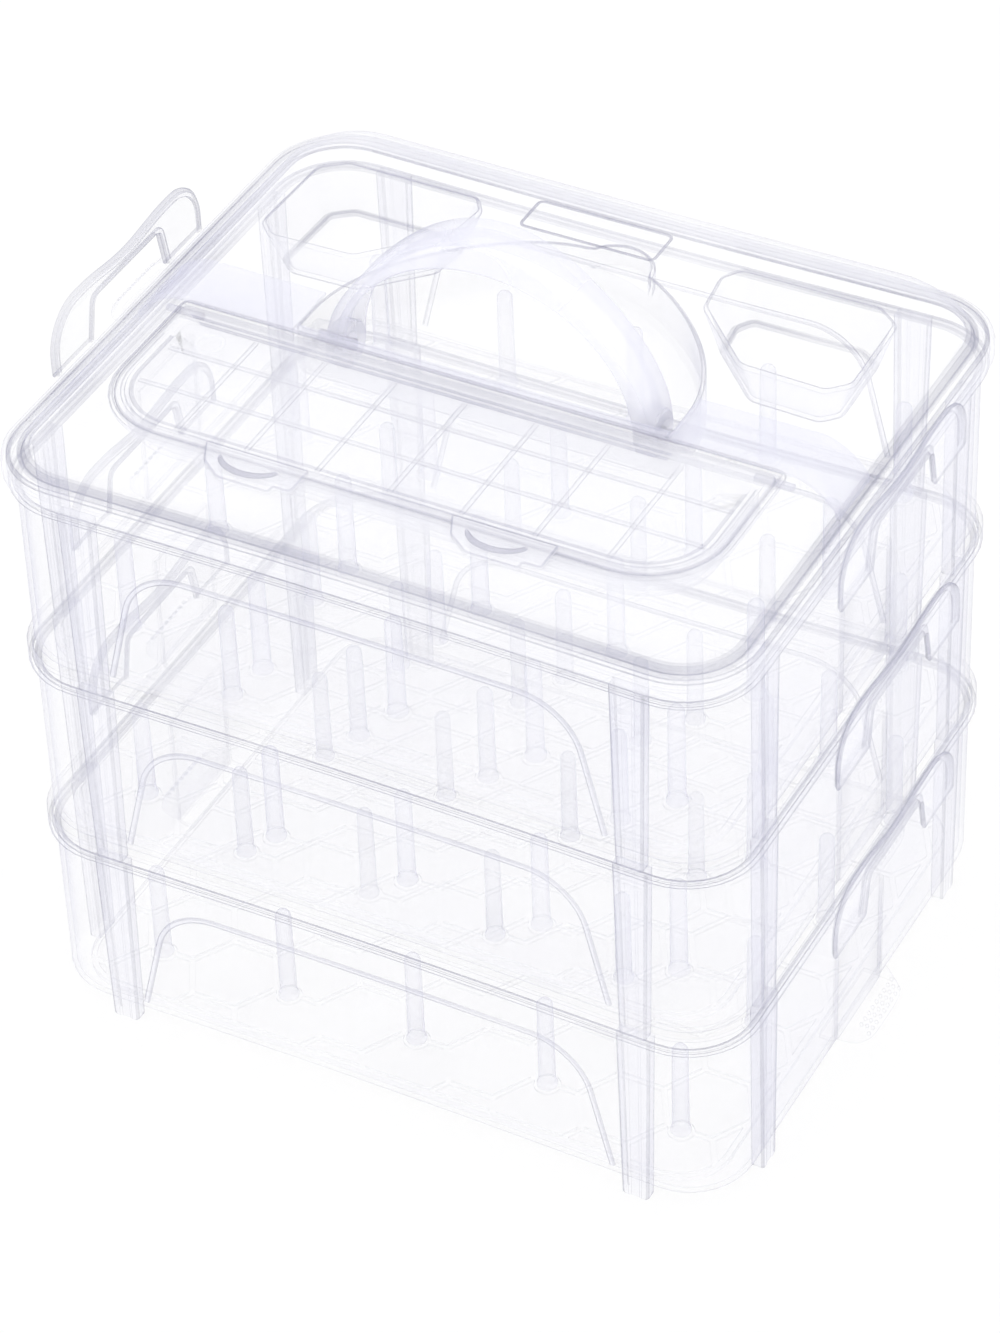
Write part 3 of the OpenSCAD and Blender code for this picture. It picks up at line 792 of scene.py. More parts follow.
@dataclass
class TrayShell:
    """Moulded shell of one tray: floor, walls, ledge and rim, with its pillars and arch beads."""

    level: int
    inset: float = 4.0  # wall inside the flange edge
    ledge: float = 69.0  # height at which the wall steps out to the rim
    rim_inset: float = 1.5
    slot_half: float = 17.5  # opening in which a latch tongue stands
    notch: float = 6.5
    crease: float = BEND + 1.1
    pillar_x: float = 95.0
    pillar_y: float = 71.0
    pillar_w: float = 12.0
    pillar_taper: float = 2.5
    pillar_t: float = 4.4
    proud: float = 0.8
    flute: float = 0.35
    arch_r: float = 22.0
    arch_lean: float = 14.0
    arch_x: float = 58.0
    arch_top: float = RIM - 20.0
    arch_foot: float = FOOT + WALL + 3.0

    @property
    def word(self) -> str:
        """Name of the level."""
        return LEVELS[self.level]

    @property
    def lift(self) -> np.ndarray:
        """Offset of this level."""
        return np.array([[0.0, 0.0, self.level * PITCH]])

    def shell(self, finish: Finish) -> bpy.types.Object:
        """Builds the shell as one outer surface from the floor's underside to the rim.

        Args:
            finish: the box's finishes.

        Returns:
            The object: a section carried round the rounded rectangle, opened where the latch
            tongues bend, given its wall thickness inwards and fine round edges.
        """
        slot = self.inset + self.notch
        section = fillet(
            [
                (slot + 1.5, FOOT), (slot, FOOT), (self.inset, FOOT, 3.0), (self.inset, 14.0),
                (self.inset, 26.0), (self.inset, 38.0), (self.inset, self.crease), (self.inset, 60.0),
                (self.inset, self.ledge, 0.7), (self.rim_inset, self.ledge, 0.8),
                (self.rim_inset, 72.5), (self.rim_inset, RIM),
            ]
        )
        marks_y = np.array([-74, -60, -46, -32, -17.5, -8, 8, 17.5, 32, 46, 60, 74.0])
        points = Outline(np.linspace(-96, 96, 25), marks_y).inset(section)

        def solid(middle: np.ndarray) -> np.ndarray:
            """Leaves out the faces where a tongue stands in the wall and floor."""
            side = (np.abs(middle[:, 1]) < self.slot_half) & (np.abs(middle[:, 0]) > BOX_W / 2 - slot)
            return ~(side & (middle[:, 2] < self.crease))

        skin = Skin(f"tray_shell_{self.word}").grid(points, wrap_columns=True, keep=solid, fine=0.6)
        skin.cap(points[0], down=True).warp(bowed).shifted(self.lift)
        return skin.make(finish.wall, finish.line, shell=WALL, bevel=0.4)

    def pillars(self, finish: Finish) -> bpy.types.Object:
        """Builds the eight tapered pillars.

        Args:
            finish: the box's finishes.

        Returns:
            The object: one rounded block with a soft flute down its face, its width growing
            evenly with its height, turned to the front, the back and both sides.
        """
        z = np.array([0.0, 0.6, 2.0, 12.0, 30.0, 50.0, 66.0, PITCH])
        trim = np.where(z == 0, 0.5, 0.0)
        half = (self.pillar_w - self.pillar_taper * (1 - z / PITCH)) / 2 - trim
        deep = self.pillar_t - trim
        flute = self.flute / self.pillar_t
        section = [
            (-1, 0, 0.9), (-0.5, 0, 0.4), (-0.3, flute, 0.4), (0.3, flute, 0.4), (0.5, 0, 0.4),
            (1, 0, 0.9), (1, 1, 0.5), (-1, 1, 0.5),
        ]
        rings = [
            raised(soft_polygon([(a * h, b * d, r) for a, b, r in section], 3), level)
            for h, d, level in zip(half, deep, z)
        ]
        block = np.array(rings)
        x_wall, y_wall = (size / 2 - self.inset + self.proud for size in (BOX_W, BOX_D))
        skin = Skin(f"tray_pillars_{self.word}")
        for side in Side:
            sign = side.value
            for x in (-self.pillar_x, self.pillar_x):
                skin.ribbon(block * [-sign, -sign, 1] + [x, sign * y_wall, 0], 0.5)
            turned = np.stack([-sign * block[..., 1], sign * block[..., 0], block[..., 2]], axis=2)
            for y in (-self.pillar_y, self.pillar_y):
                skin.ribbon(turned + [sign * x_wall, y, 0], 0.5)
        skin.warp(bowed).shifted(self.lift)
        return skin.make(finish.rib, finish.line, sharp=40)

    def arches(self, finish: Finish) -> bpy.types.Object:
        """Builds the raised arch line on the front and rear walls.

        Args:
            finish: the box's finishes.

        Returns:
            The object: a low bead along two leaning legs, two round corners tangent to them
            and a straight top.
        """
        angle = np.radians(np.linspace(self.arch_lean, 90, 12))
        centre = np.array([self.arch_x, self.arch_top - self.arch_r])
        corner = centre + self.arch_r * np.column_stack([np.cos(angle), np.sin(angle)])
        spread = (corner[0, 1] - self.arch_foot) * math.tan(math.radians(self.arch_lean))
        leg = np.linspace([corner[0, 0] + spread, self.arch_foot], corner[0], 5)[:-1]
        top = np.linspace([self.arch_x, self.arch_top], [0, self.arch_top], 6)[1:]
        half = np.concatenate([leg, corner, top])
        line = np.concatenate([half, half[-2::-1] * [-1, 1]])
        step = unit(np.gradient(line, axis=0))
        across = np.column_stack([step[:, 1], np.zeros(len(step)), -step[:, 0]])
        section = np.array([(-1.0, -0.3), (-0.95, 0.25), (-0.5, 0.6), (0.5, 0.6), (0.95, 0.25), (1.0, -0.3)])
        skin = Skin(f"tray_arches_{self.word}")
        for side in Side:
            y = np.full(len(line), side.value * (BOX_D / 2 - self.inset))
            path = np.column_stack([line[:, 0], y, line[:, 1]])
            skin.ribbon(bead(path, across, side.value * Y_AXIS, section), 0.6)
        skin.warp(bowed).shifted(self.lift)
        return skin.make(finish.rib, finish.line, sharp=60)

    def build(self, finish: Finish) -> None:
        """Builds and places every piece of the tray.

        Args:
            finish: the box's finishes.
        """
        body = f"{self.word}_tray"
        put(self.shell(finish), body, "clear_tray", f"tray_{self.word}")
        put(self.pillars(finish), body, "clear_tray")
        put(self.arches(finish), body, "clear_tray")


@dataclass
class GuardEar:
    """Ear outside a finger lip: a thin plate with a thick round edge and a window for the lip."""

    level: int
    side: Side
    half: float = 46.0
    low: float = RIM - 4.0
    high: float = RIM + 19.0
    radius: float = 16.0
    dip: float = 2.2
    dip_half: float = 26.0
    window: float = 23.0
    window_top: float = RIM + 10.5
    outer: float = 138.1
    root: float = 128.4

    def curve(self) -> np.ndarray:
        """Works out the ear's upper edge.

        Returns:
            Points (90, 2) of Y and Z from the right root over the top to the left one. The
            top dips by the dip times the squared cosine of Y over the dip's half width.
        """
        corners = [
            (self.half, self.low, 0.1), (self.half, self.high, self.radius),
            (-self.half, self.high, self.radius), (-self.half, self.low, 0.1),
        ]
        curve = soft_polygon(corners, 12)
        curve = resample(curve[curve[:, 1] > self.low - 0.05], 90)
        wave = np.cos(np.clip(curve[:, 0] / self.dip_half, -1, 1) * math.pi / 2) ** 2
        curve[:, 1] -= self.dip * wave * (curve[:, 1] > RIM)
        return curve

    def build(self, finish: Finish) -> None:
        """Builds the plate, the bead along its edge and its two shelves, and places them.

        Args:
            finish: the box's finishes.
        """
        curve, top, slant = self.curve(), self.window_top, 3.0
        corners = [(-self.window, self.low), (slant - self.window, top, 2.5)]
        corners += [(self.window - slant, top, 2.5), (self.window, self.low)]
        window = fillet(corners, 6)
        edge = np.concatenate([window, curve])
        inner = self.outer - WALL
        rows = [(0.5, inner), (0.0, inner + 0.5), (0.0, self.outer - 0.5), (0.15, self.outer - 0.15)]
        rows.append((0.5, self.outer))
        rings = [np.column_stack([np.full(len(edge), x), grow(edge, -d)]) for d, x in rows]
        word = LEVELS[self.level]
        skin = Skin(f"guard_ear_{word}_{self.side.word}").rod(np.array(rings), fine=0.75)
        section = np.array([(-1.1, 0.3), (-1.0, -0.3), (-0.6, -0.7), (0.6, -0.7), (1.0, -0.3), (1.1, 0.3)])
        for line, inset in ((curve, 1.9), (window, 1.5)):
            step = unit(np.gradient(line, axis=0))
            inward = np.column_stack([np.zeros(len(line)), -step[:, 1], step[:, 0]])
            path = np.column_stack([np.full(len(line), inner), line]) + inset * inward
            skin.ribbon(bead(path, inward, X_AXIS, section), 0.65)
        far = self.outer - 0.8
        for sign in (-1, 1):
            y0, y1 = sorted((sign * (self.window + 0.3), sign * self.half))
            corners = [(self.root, y0, 0.3), (far, y0, 0.8), (far, y1, 0.8), (self.root, y1, 0.3)]
            flat = soft_polygon(corners, 3)
            skin.rod(np.array([raised(flat, self.low), raised(flat, self.low + WALL)]))
        skin.warp(lambda p: p * [self.side.value, 1, 1] + [0, 0, self.level * PITCH])
        piece = skin.make(finish.wall, finish.line, sharp=40)
        put(piece, f"{word}_tray", "clear_tray", f"latch_ear_{word}_{self.side.word}")


@dataclass
class FingerLip:
    """Lip that a finger lifts: a rounded wedge with rows of grip dots on its slope."""

    half: float = 17.0
    reach: float = 10.1
    low: float = 0.8
    high: float = 7.5
    wall: float = 126.0
    dot_step: float = 3.0

    def add(self, skin: Skin, root: float, base: float, sign: int) -> None:
        """Adds the lip to a piece.

        The lip is one wedge section carried along Y. Its tip and its upper edge are drawn
        back towards the ends by the square root of one minus (y / half) to the fifth power.

        Args:
            skin: the piece that carries it.
            root: X that the lip grows from.
            base: height of the rim below it.
            sign: side of the box.
        """
        y = self.half * np.sin(np.linspace(-90, 90, 19) * math.pi / 180)
        draw = np.maximum(1 - (np.abs(y) / self.half) ** 5, 0.0) ** 0.5
        tip = root + 2.4 + (self.wall + self.reach - root - 2.4) * draw
        mid = root + 1.2 + (self.wall + self.reach * 0.5 - root - 1.2) * draw
        rings = []
        for end, upper, at in zip(tip, mid, y):
            corners = [(root, self.low), (end, self.low, 0.5), (end, 2.1, 0.5)]
            corners += [(upper, self.high, 0.6), (root, self.high)]
            flat = fillet(corners, 3)
            rings.append(np.column_stack([flat[:, 0] * sign, np.full(len(flat), at), flat[:, 1] + base]))
        skin.rod(np.array(rings))
        self.dots(skin, base, sign)

    def dots(self, skin: Skin, base: float, sign: int) -> None:
        """Adds three rows of grip dots on the slope, the middle row set off by half a step.

        Args:
            skin: the piece that carries them.
            base: height of the rim below the lip.
            sign: side of the box.
        """
        foot = np.array([self.wall + self.reach - 0.9, 2.9])
        head = np.array([self.wall + self.reach * 0.5 + 0.7, 6.6])
        normal = unit(np.array([head[1] - foot[1], foot[0] - head[0]]))
        turn = np.linspace(0, 2 * math.pi, 6, endpoint=False)
        radius, up = np.array([(0.85, -0.15), (0.7, 0.3), (0.35, 0.55)]).T[:, :, None]
        along, across = np.cos(turn) * radius, np.sin(turn) * radius
        for row, share in enumerate((0.1, 0.5, 0.9)):
            x, z = foot * (1 - share) + head * share
            dot_x = sign * (x + normal[0] * up - normal[1] * across)
            dot_z = z + base + normal[1] * up + normal[0] * across
            spots = np.arange(-12.0, 12.1, self.dot_step) + (self.dot_step / 2 if row == 1 else 0.0)
            for spot in spots[spots <= 12.1]:
                skin.rod(np.stack([dot_x, spot + along, dot_z], axis=2))


@dataclass
class LatchTongue:
    """Tongue cut into the wall that bends inwards when its lip is pressed."""

    level: int
    side: Side
    half: float = 17.0
    inner: float = 124.4
    outer: float = 126.0
    low: float = FOOT + 0.8
    high: float = BEND + 0.8

    def build(self, finish: Finish) -> None:
        """Builds the tongue, a rounded strip with a round bend, a lip and grip dots.

        Args:
            finish: the box's finishes.
        """
        sign = self.side.value
        word = LEVELS[self.level]
        name = f"{word}_{self.side.word}"
        corners = [(self.inner, self.low, 0.3), (self.outer, self.low, 0.3)]
        corners += [(self.outer, self.high, 0.79), (self.inner, self.high, 0.79)]
        strip = soft_polygon(corners, 5)
        middle = np.array([(self.inner + self.outer) / 2, (self.low + BEND) / 2])
        rings = []
        side = self.half - 0.3
        for y, share in ((-self.half, 0.75), (-side, 1.0), (side, 1.0), (self.half, 0.75)):
            flat = middle + (strip - middle) * [share, 1.0]
            rings.append(np.column_stack([flat[:, 0] * sign, np.full(len(flat), y), flat[:, 1]]))
        skin = Skin(f"latch_tongue_skin_{name}").rod(np.array(rings))
        FingerLip(half=self.half - 0.2).add(skin, self.outer - 0.4, FOOT, sign)
        skin.shifted(np.array([[0.0, 0.0, self.level * PITCH]]))
        piece = skin.make(finish.latch, finish.line, bevel=0.3, sharp=40)
        put(piece, f"{word}_latch_{self.side.word}", "clear_latch", f"latch_tongue_{name}")


@dataclass
class SpoolPegs:
    """Twenty round pegs of one board, each with a ring at its foot and a round tip."""

    level: int
    pitch_x: float = 48.4
    pitch_y: float = 55.5
    shift_x: float = 2.3
    shift_y: float = 4.0
    height: float = 38.0
    radius: float = 2.9
    ring: float = 3.5
    board_top: float = FOOT + WALL + 2.2

    def build(self, finish: Finish) -> None:
        """Builds one peg as a turned profile and repeats it on its grid of five by four.

        Args:
            finish: the box's finishes.
        """
        tip = self.radius - 0.2
        dome = np.radians(np.linspace(0, 90, 5))
        profile = np.concatenate(
            [
                [(0.0, 0.0), (self.ring, 0.0), (self.ring, 0.8), (self.ring - 0.15, 1.0)],
                [(self.radius + 0.1, 1.5), (self.radius, 2.2), (self.radius - 0.1, self.height * 0.5)],
                np.stack([tip * np.cos(dome), self.height - tip + tip * np.sin(dome)], axis=1),
            ]
        )
        word = LEVELS[self.level]
        skin = Skin(f"spool_peg_set_{word}").lathe(profile, 20, np.zeros(3))
        i, j = np.meshgrid(np.arange(-2, 3), np.arange(4), indexing="ij")
        x = i.ravel() * self.pitch_x + self.shift_x
        y = (j.ravel() - 1.5) * self.pitch_y + self.shift_y
        skin.shifted(np.column_stack([x, y, np.full(len(x), self.board_top + self.level * PITCH)]))
        put(skin.make(finish.peg, sharp=50), f"{word}_board", "clear_peg", f"spool_pegs_{word}")


# Lid


@dataclass
class LidShell:
    """Domed lid: skirt, flange, dome and deck with its compartment, recess, notch and cups."""

    ledge: float = 7.5
    shoulder_x: float = 14.5
    shoulder_y: float = 7.5
    dome_r: float = 20.0
    deck_r: float = 18.0
    cover_half: float = 104.0
    cover_front: float = -80.0
    cover_r: float = 26.0
    cover_gap: float = 0.4
    band_front: float = -16.4
    band_back: float = 6.0
    seat: float = 231.9
    seat_w: float = 4.5
    hinge_seat: float = 229.3
    pan: float = 221.9
    pan_back: float = -23.4
    recess_half: float = 65.0
    recess_front: float = -12.6
    recess_floor: float = 215.9
    notch_floor: float = DECK - 7.4
    notch_x: float = 10.0
    notch_y: float = 61.0
    notch_r: float = 12.0
    cup_floor: float = 218.0
    cup_x: float = 77.0
    cup_y: float = 52.0
    boss_r: float = 5.0
    boss_start: float = 57.9
    lip_root: float = 128.6
    lip_half: float = 16.8

    def dome_rows(self) -> tuple[np.ndarray, ...]:
        """Works out the dome's shoulder.

        Returns:
            Half width, half depth, corner radius and height of each ring. With t from 0 to 1
            the inset is the shoulder times t to the 1.3 and the height rises as one minus
            (1 - t) to the 1.45.
        """
        t = np.linspace(0, 1, 12)
        draw = t**1.3
        z = FLANGE + 2 + 10.5 * (1 - (1 - t) ** 1.45)
        half_x = BOX_W / 2 - self.ledge - self.shoulder_x * draw
        half_y = BOX_D / 2 - self.ledge - self.shoulder_y * draw
        return half_x, half_y, self.dome_r + (self.deck_r - self.dome_r) * t, z

    def recess_line(self, notch: bool) -> np.ndarray:
        """Outline of the handle recess, counter-clockwise from the right pivot.

        Args:
            notch: joins the finger notch behind the handle to it.

        Returns:
            Points (count, 2): radius 65 - 2.5 sin(2a) squared + 2 sin(a) to the twelfth about
            the handle's plane, or the far side of the notch's circle where that is larger,
            closed by a straight front.
        """
        a = np.radians(np.linspace(0, 180, 91))
        r = self.recess_half - 2.5 * np.sin(2 * a) ** 2 + 2 * np.sin(a) ** 12
        if notch:
            along = self.notch_x * np.cos(a) + self.notch_y * np.sin(a)
            off = self.notch_r**2 - (self.notch_x**2 + self.notch_y**2 - along**2)
            r = np.where(off > 0, np.maximum(r, along + np.sqrt(np.maximum(off, 0))), r)
        arc = np.stack([r * np.cos(a), HANDLE_Y + r * np.sin(a)], axis=1)
        x = np.linspace(1.5 - self.recess_half, self.recess_half - 1.5, 15)
        front = np.column_stack([x, np.full(len(x), self.recess_front)])
        left = [[-self.recess_half, self.recess_front + 1.5]]
        left = np.array(left + [[0.45 - self.recess_half, self.recess_front + 0.45]])
        return np.concatenate([arc, left, front, left[::-1] * [-1, 1]])

    def cup_line(self, sign: int, share: float) -> np.ndarray:
        """Outline of a cup: its mouth with rounded corners, drawn towards its middle.

        Args:
            sign: side of the box.
            share: size as a share of the mouth.

        Returns:
            Points (count, 2), counter-clockwise.
        """
        mouth = [(69, 29, 5), (98, 28, 4), (104, 34, 4), (103, 68, 4), (95, 74, 4), (48, 74, 3)]
        line = soft_polygon(mouth + [(44, 68, 4), (46, 52, 6)], 5)
        middle = np.array([self.cup_x, self.cup_y])
        line = middle + (line - middle) * share
        return line if sign > 0 else line[::-1] * [-1, 1]

    def build(self, finish: Finish) -> None:
        """Builds the lid's shell, band, lips, bosses and rear line and places them.

        Args:
            finish: the box's finishes.
        """
        put(self.shell(finish), "lid_body", "clear_lid", "lid")
        put(self.band(finish), "lid_body", "clear_lid")
        put(self.lips(finish), "lid_body", "clear_latch")
        put(self.bosses(finish), "lid_body", "clear_lid")
        put(self.rear_panel(finish), "lid_body", "clear_lid")

    def compartment(self) -> np.ndarray:
        """Works out the compartment: a rounded mouth, the seat of the cover and the pan.

        Returns:
            Rings (rings, points, 3) from the deck down to the pan, each a rounded rectangle.
        """
        half, near = self.cover_half + self.cover_gap, self.cover_front - self.cover_gap
        in_half, in_near = self.cover_half - self.seat_w, self.cover_front + self.seat_w
        corner, in_corner = self.cover_r + self.cover_gap, self.cover_r - self.seat_w
        # Half width, front, back, front radius, rear radius and height of each ring
        rows = [
            (half + d, near - d, self.band_front, corner + d, 1.0, z)
            for d, z in ((0.6, DECK), (0.18, DECK - 0.18), (0.0, DECK - 0.6), (0.0, self.seat))
        ]
        rows += [
            (in_half - d, in_near + d, self.pan_back - d, in_corner, 3.0, z)
            for d, z in ((0.0, self.seat), (0.0, self.pan + 3.0), (0.9, self.pan + 0.9), (3.0, self.pan))
        ]
        outline = Outline(np.linspace(-72, 72, 13), np.array([-50.0, -40, -32]), 8)
        rings = outline.rings(*np.array(rows).T)
        rings[3, outline.sides == "back", 2] -= self.seat - self.hinge_seat
        return rings

    def recess(self) -> np.ndarray:
        """Works out the handle recess with its finger notch.

        Returns:
            Rings (rings, points, 3): a rounded mouth, the notch's floor and the recess floor.
        """
        wide, near, floor = self.recess_line(True), self.recess_line(False), self.recess_floor
        rows = [(wide, 0.6, DECK), (wide, 0.18, DECK - 0.18), (wide, 0.0, DECK - 0.6)]
        rows += [(wide, 0.0, self.notch_floor), (near, 0.0, self.notch_floor)]
        rows += [(near, 0.0, floor + 2.0), (near, -0.6, floor + 0.6), (near, -2.0, floor)]
        return np.array([raised(grow(line, d), z) for line, d, z in rows])

    def cup(self, sign: int) -> np.ndarray:
        """Works out a rear cup.

        Args:
            sign: side of the box.

        Returns:
            Rings (rings, points, 3): the mouth's outline shrinks towards the floor.
        """
        floor = self.cup_floor
        rows = [(1.0, DECK, 0.7), (1.0, DECK - 0.2, 0.2), (1.0, DECK - 0.7, 0.0)]
        rows += [(0.82, floor + 0.6, 0.0), (0.81, floor + 0.15, 0.0), (0.79, floor, 0.0)]
        return np.array([raised(grow(self.cup_line(sign, share), d), z) for share, z, d in rows])

    def shell(self, finish: Finish) -> bpy.types.Object:
        """Builds the outer surface from the skirt to the bottoms of the wells.

        Args:
            finish: the box's finishes.

        Returns:
            The object, given its wall thickness on the underside.
        """
        skirt = fillet(
            [
                (0.0, LID - 2.0), (0.0, FLANGE, 1.8), (2.4, FLANGE, 0.8), (2.9, FLANGE - 0.5, 0.6),
                (5.2, FLANGE - 0.5, 0.6), (5.7, FLANGE, 0.5), (self.ledge, FLANGE, 0.9),
                (self.ledge, FLANGE + 2.0),
            ],
            3,
        )
        d, height = skirt.T
        corner = np.interp(d, [0, self.ledge], [CORNER, self.dome_r])
        outline = Outline(np.linspace(-86, 86, 23), np.linspace(-72, 72, 19), 10)
        low = outline.rings(BOX_W / 2 - d, d - BOX_D / 2, BOX_D / 2 - d, corner, corner, height)
        half_x, half_y, radius, z = self.dome_rows()
        dome = outline.rings(half_x, -half_y, half_y, radius, radius, z)
        skin = Skin("lid_shell").grid(low, wrap_columns=True, fine=0.9).grid(dome, wrap_columns=True)
        wells = [self.compartment(), self.recess(), self.cup(-1), self.cup(1)]
        for well in wells:
            skin.grid(well, wrap_columns=True, fine=0.95).cap(well[-1])
        skin.plate(dome[-1, :, :2], [well[0, :, :2] for well in wells], DECK)
        skin.warp(bowed)

        def share(points: np.ndarray) -> np.ndarray:
            """Thins the skirt, which laps over the rim of the tray below."""
            return np.where(points[:, 2] < LID + 0.5, 0.66, 1.0)

        return skin.make(finish.lid, finish.line, shell=WALL, thin=share, bevel=0.45)

    def band(self, finish: Finish) -> bpy.types.Object:
        """Builds the raised band over both shoulders and in front of the recess.

        Args:
            finish: the box's finishes.

        Returns:
            The object: a low flat section carried over the dome's rows, and one across.
        """
        front = self.band_front + 0.1

        def section(back: float) -> np.ndarray:
            """Section of the band from its front edge to a back edge, upper corners cut."""
            flat = [(front, -0.5), (front, 0.5), (front + 0.3, 0.8), (back - 0.3, 0.8)]
            return np.array(flat + [(back, 0.5), (back, -0.5)])

        half_x, _, _, z = self.dome_rows()
        deck_x = np.linspace(half_x[-1] - 4, self.recess_half + 0.8, 8)
        x = np.concatenate([half_x[:1], half_x, deck_x])
        height = np.concatenate([[FLANGE + 0.4], z, np.full(len(deck_x), DECK)])
        slope = unit(np.gradient(np.column_stack([x, height]), axis=0))
        skin = Skin("lid_band")
        level = np.zeros(len(x))
        for side in Side:
            up = np.column_stack([side.value * slope[:, 1], level, -slope[:, 0]])
            path = np.column_stack([side.value * x, level, height])
            skin.rod(bead(path, Y_AXIS, up, section(self.band_back)))
        path = np.array([[-self.recess_half, 0, DECK], [self.recess_half, 0, DECK]])
        skin.rod(bead(path, Y_AXIS, Z_AXIS, section(self.recess_front - 0.2)))
        return skin.make(finish.band, sharp=40)

    def lips(self, finish: Finish) -> bpy.types.Object:
        """Builds the two finger lips of the lid.

        Args:
            finish: the box's finishes.

        Returns:
            The object.
        """
        skin = Skin("lid_finger_lips")
        for side in Side:
            FingerLip(half=self.lip_half).add(skin, self.lip_root, LID, side.value)
        return skin.make(finish.latch, sharp=40)

    def rear_panel(self, finish: Finish) -> bpy.types.Object:
        """Builds the fine raised line round the shallow panel at the rear of the deck.

        Args:
            finish: the box's finishes.

        Returns:
            The object: a rounded rectangle that carries a low round section.
        """
        line = soft_polygon([(-28, 66, 2.0), (20, 66, 2.0), (20, 81, 2.0), (-28, 81, 2.0)], 4)
        away = grow(line, 1.0) - line
        rows = [(-0.5, -0.2), (-0.4, 0.15), (0.0, 0.3), (0.4, 0.15), (0.5, -0.2)]
        rings = np.array([raised(line + away * d, DECK + h) for d, h in rows])
        skin = Skin("lid_rear_panel_line").grid(rings, wrap_rows=True, wrap_columns=True)
        # The whole raised line takes the grey of the painted edge shade
        return skin.make(finish.line, sharp=60)

    def bosses(self, finish: Finish) -> bpy.types.Object:
        """Builds the round bosses that hold the handle's pivot pins.

        Args:
            finish: the box's finishes.

        Returns:
            The object: two short tubes with a small chamfer, turned round the pivot.
        """
        start, end, r = self.boss_start, self.recess_half + 0.4, self.boss_r
        profile = [(PIN_BORE, start), (r - 0.4, start), (r, start + 0.4), (r, end), (PIN_BORE, end)]
        profile = np.array(profile + profile[:1])
        skin = Skin("lid_pivot_bosses")
        for side in Side:
            skin.lathe(profile * [1, side.value], 28, np.array([0.0, HANDLE_Y, PIVOT_Z]), "x")
        return skin.make(finish.lid, sharp=40)


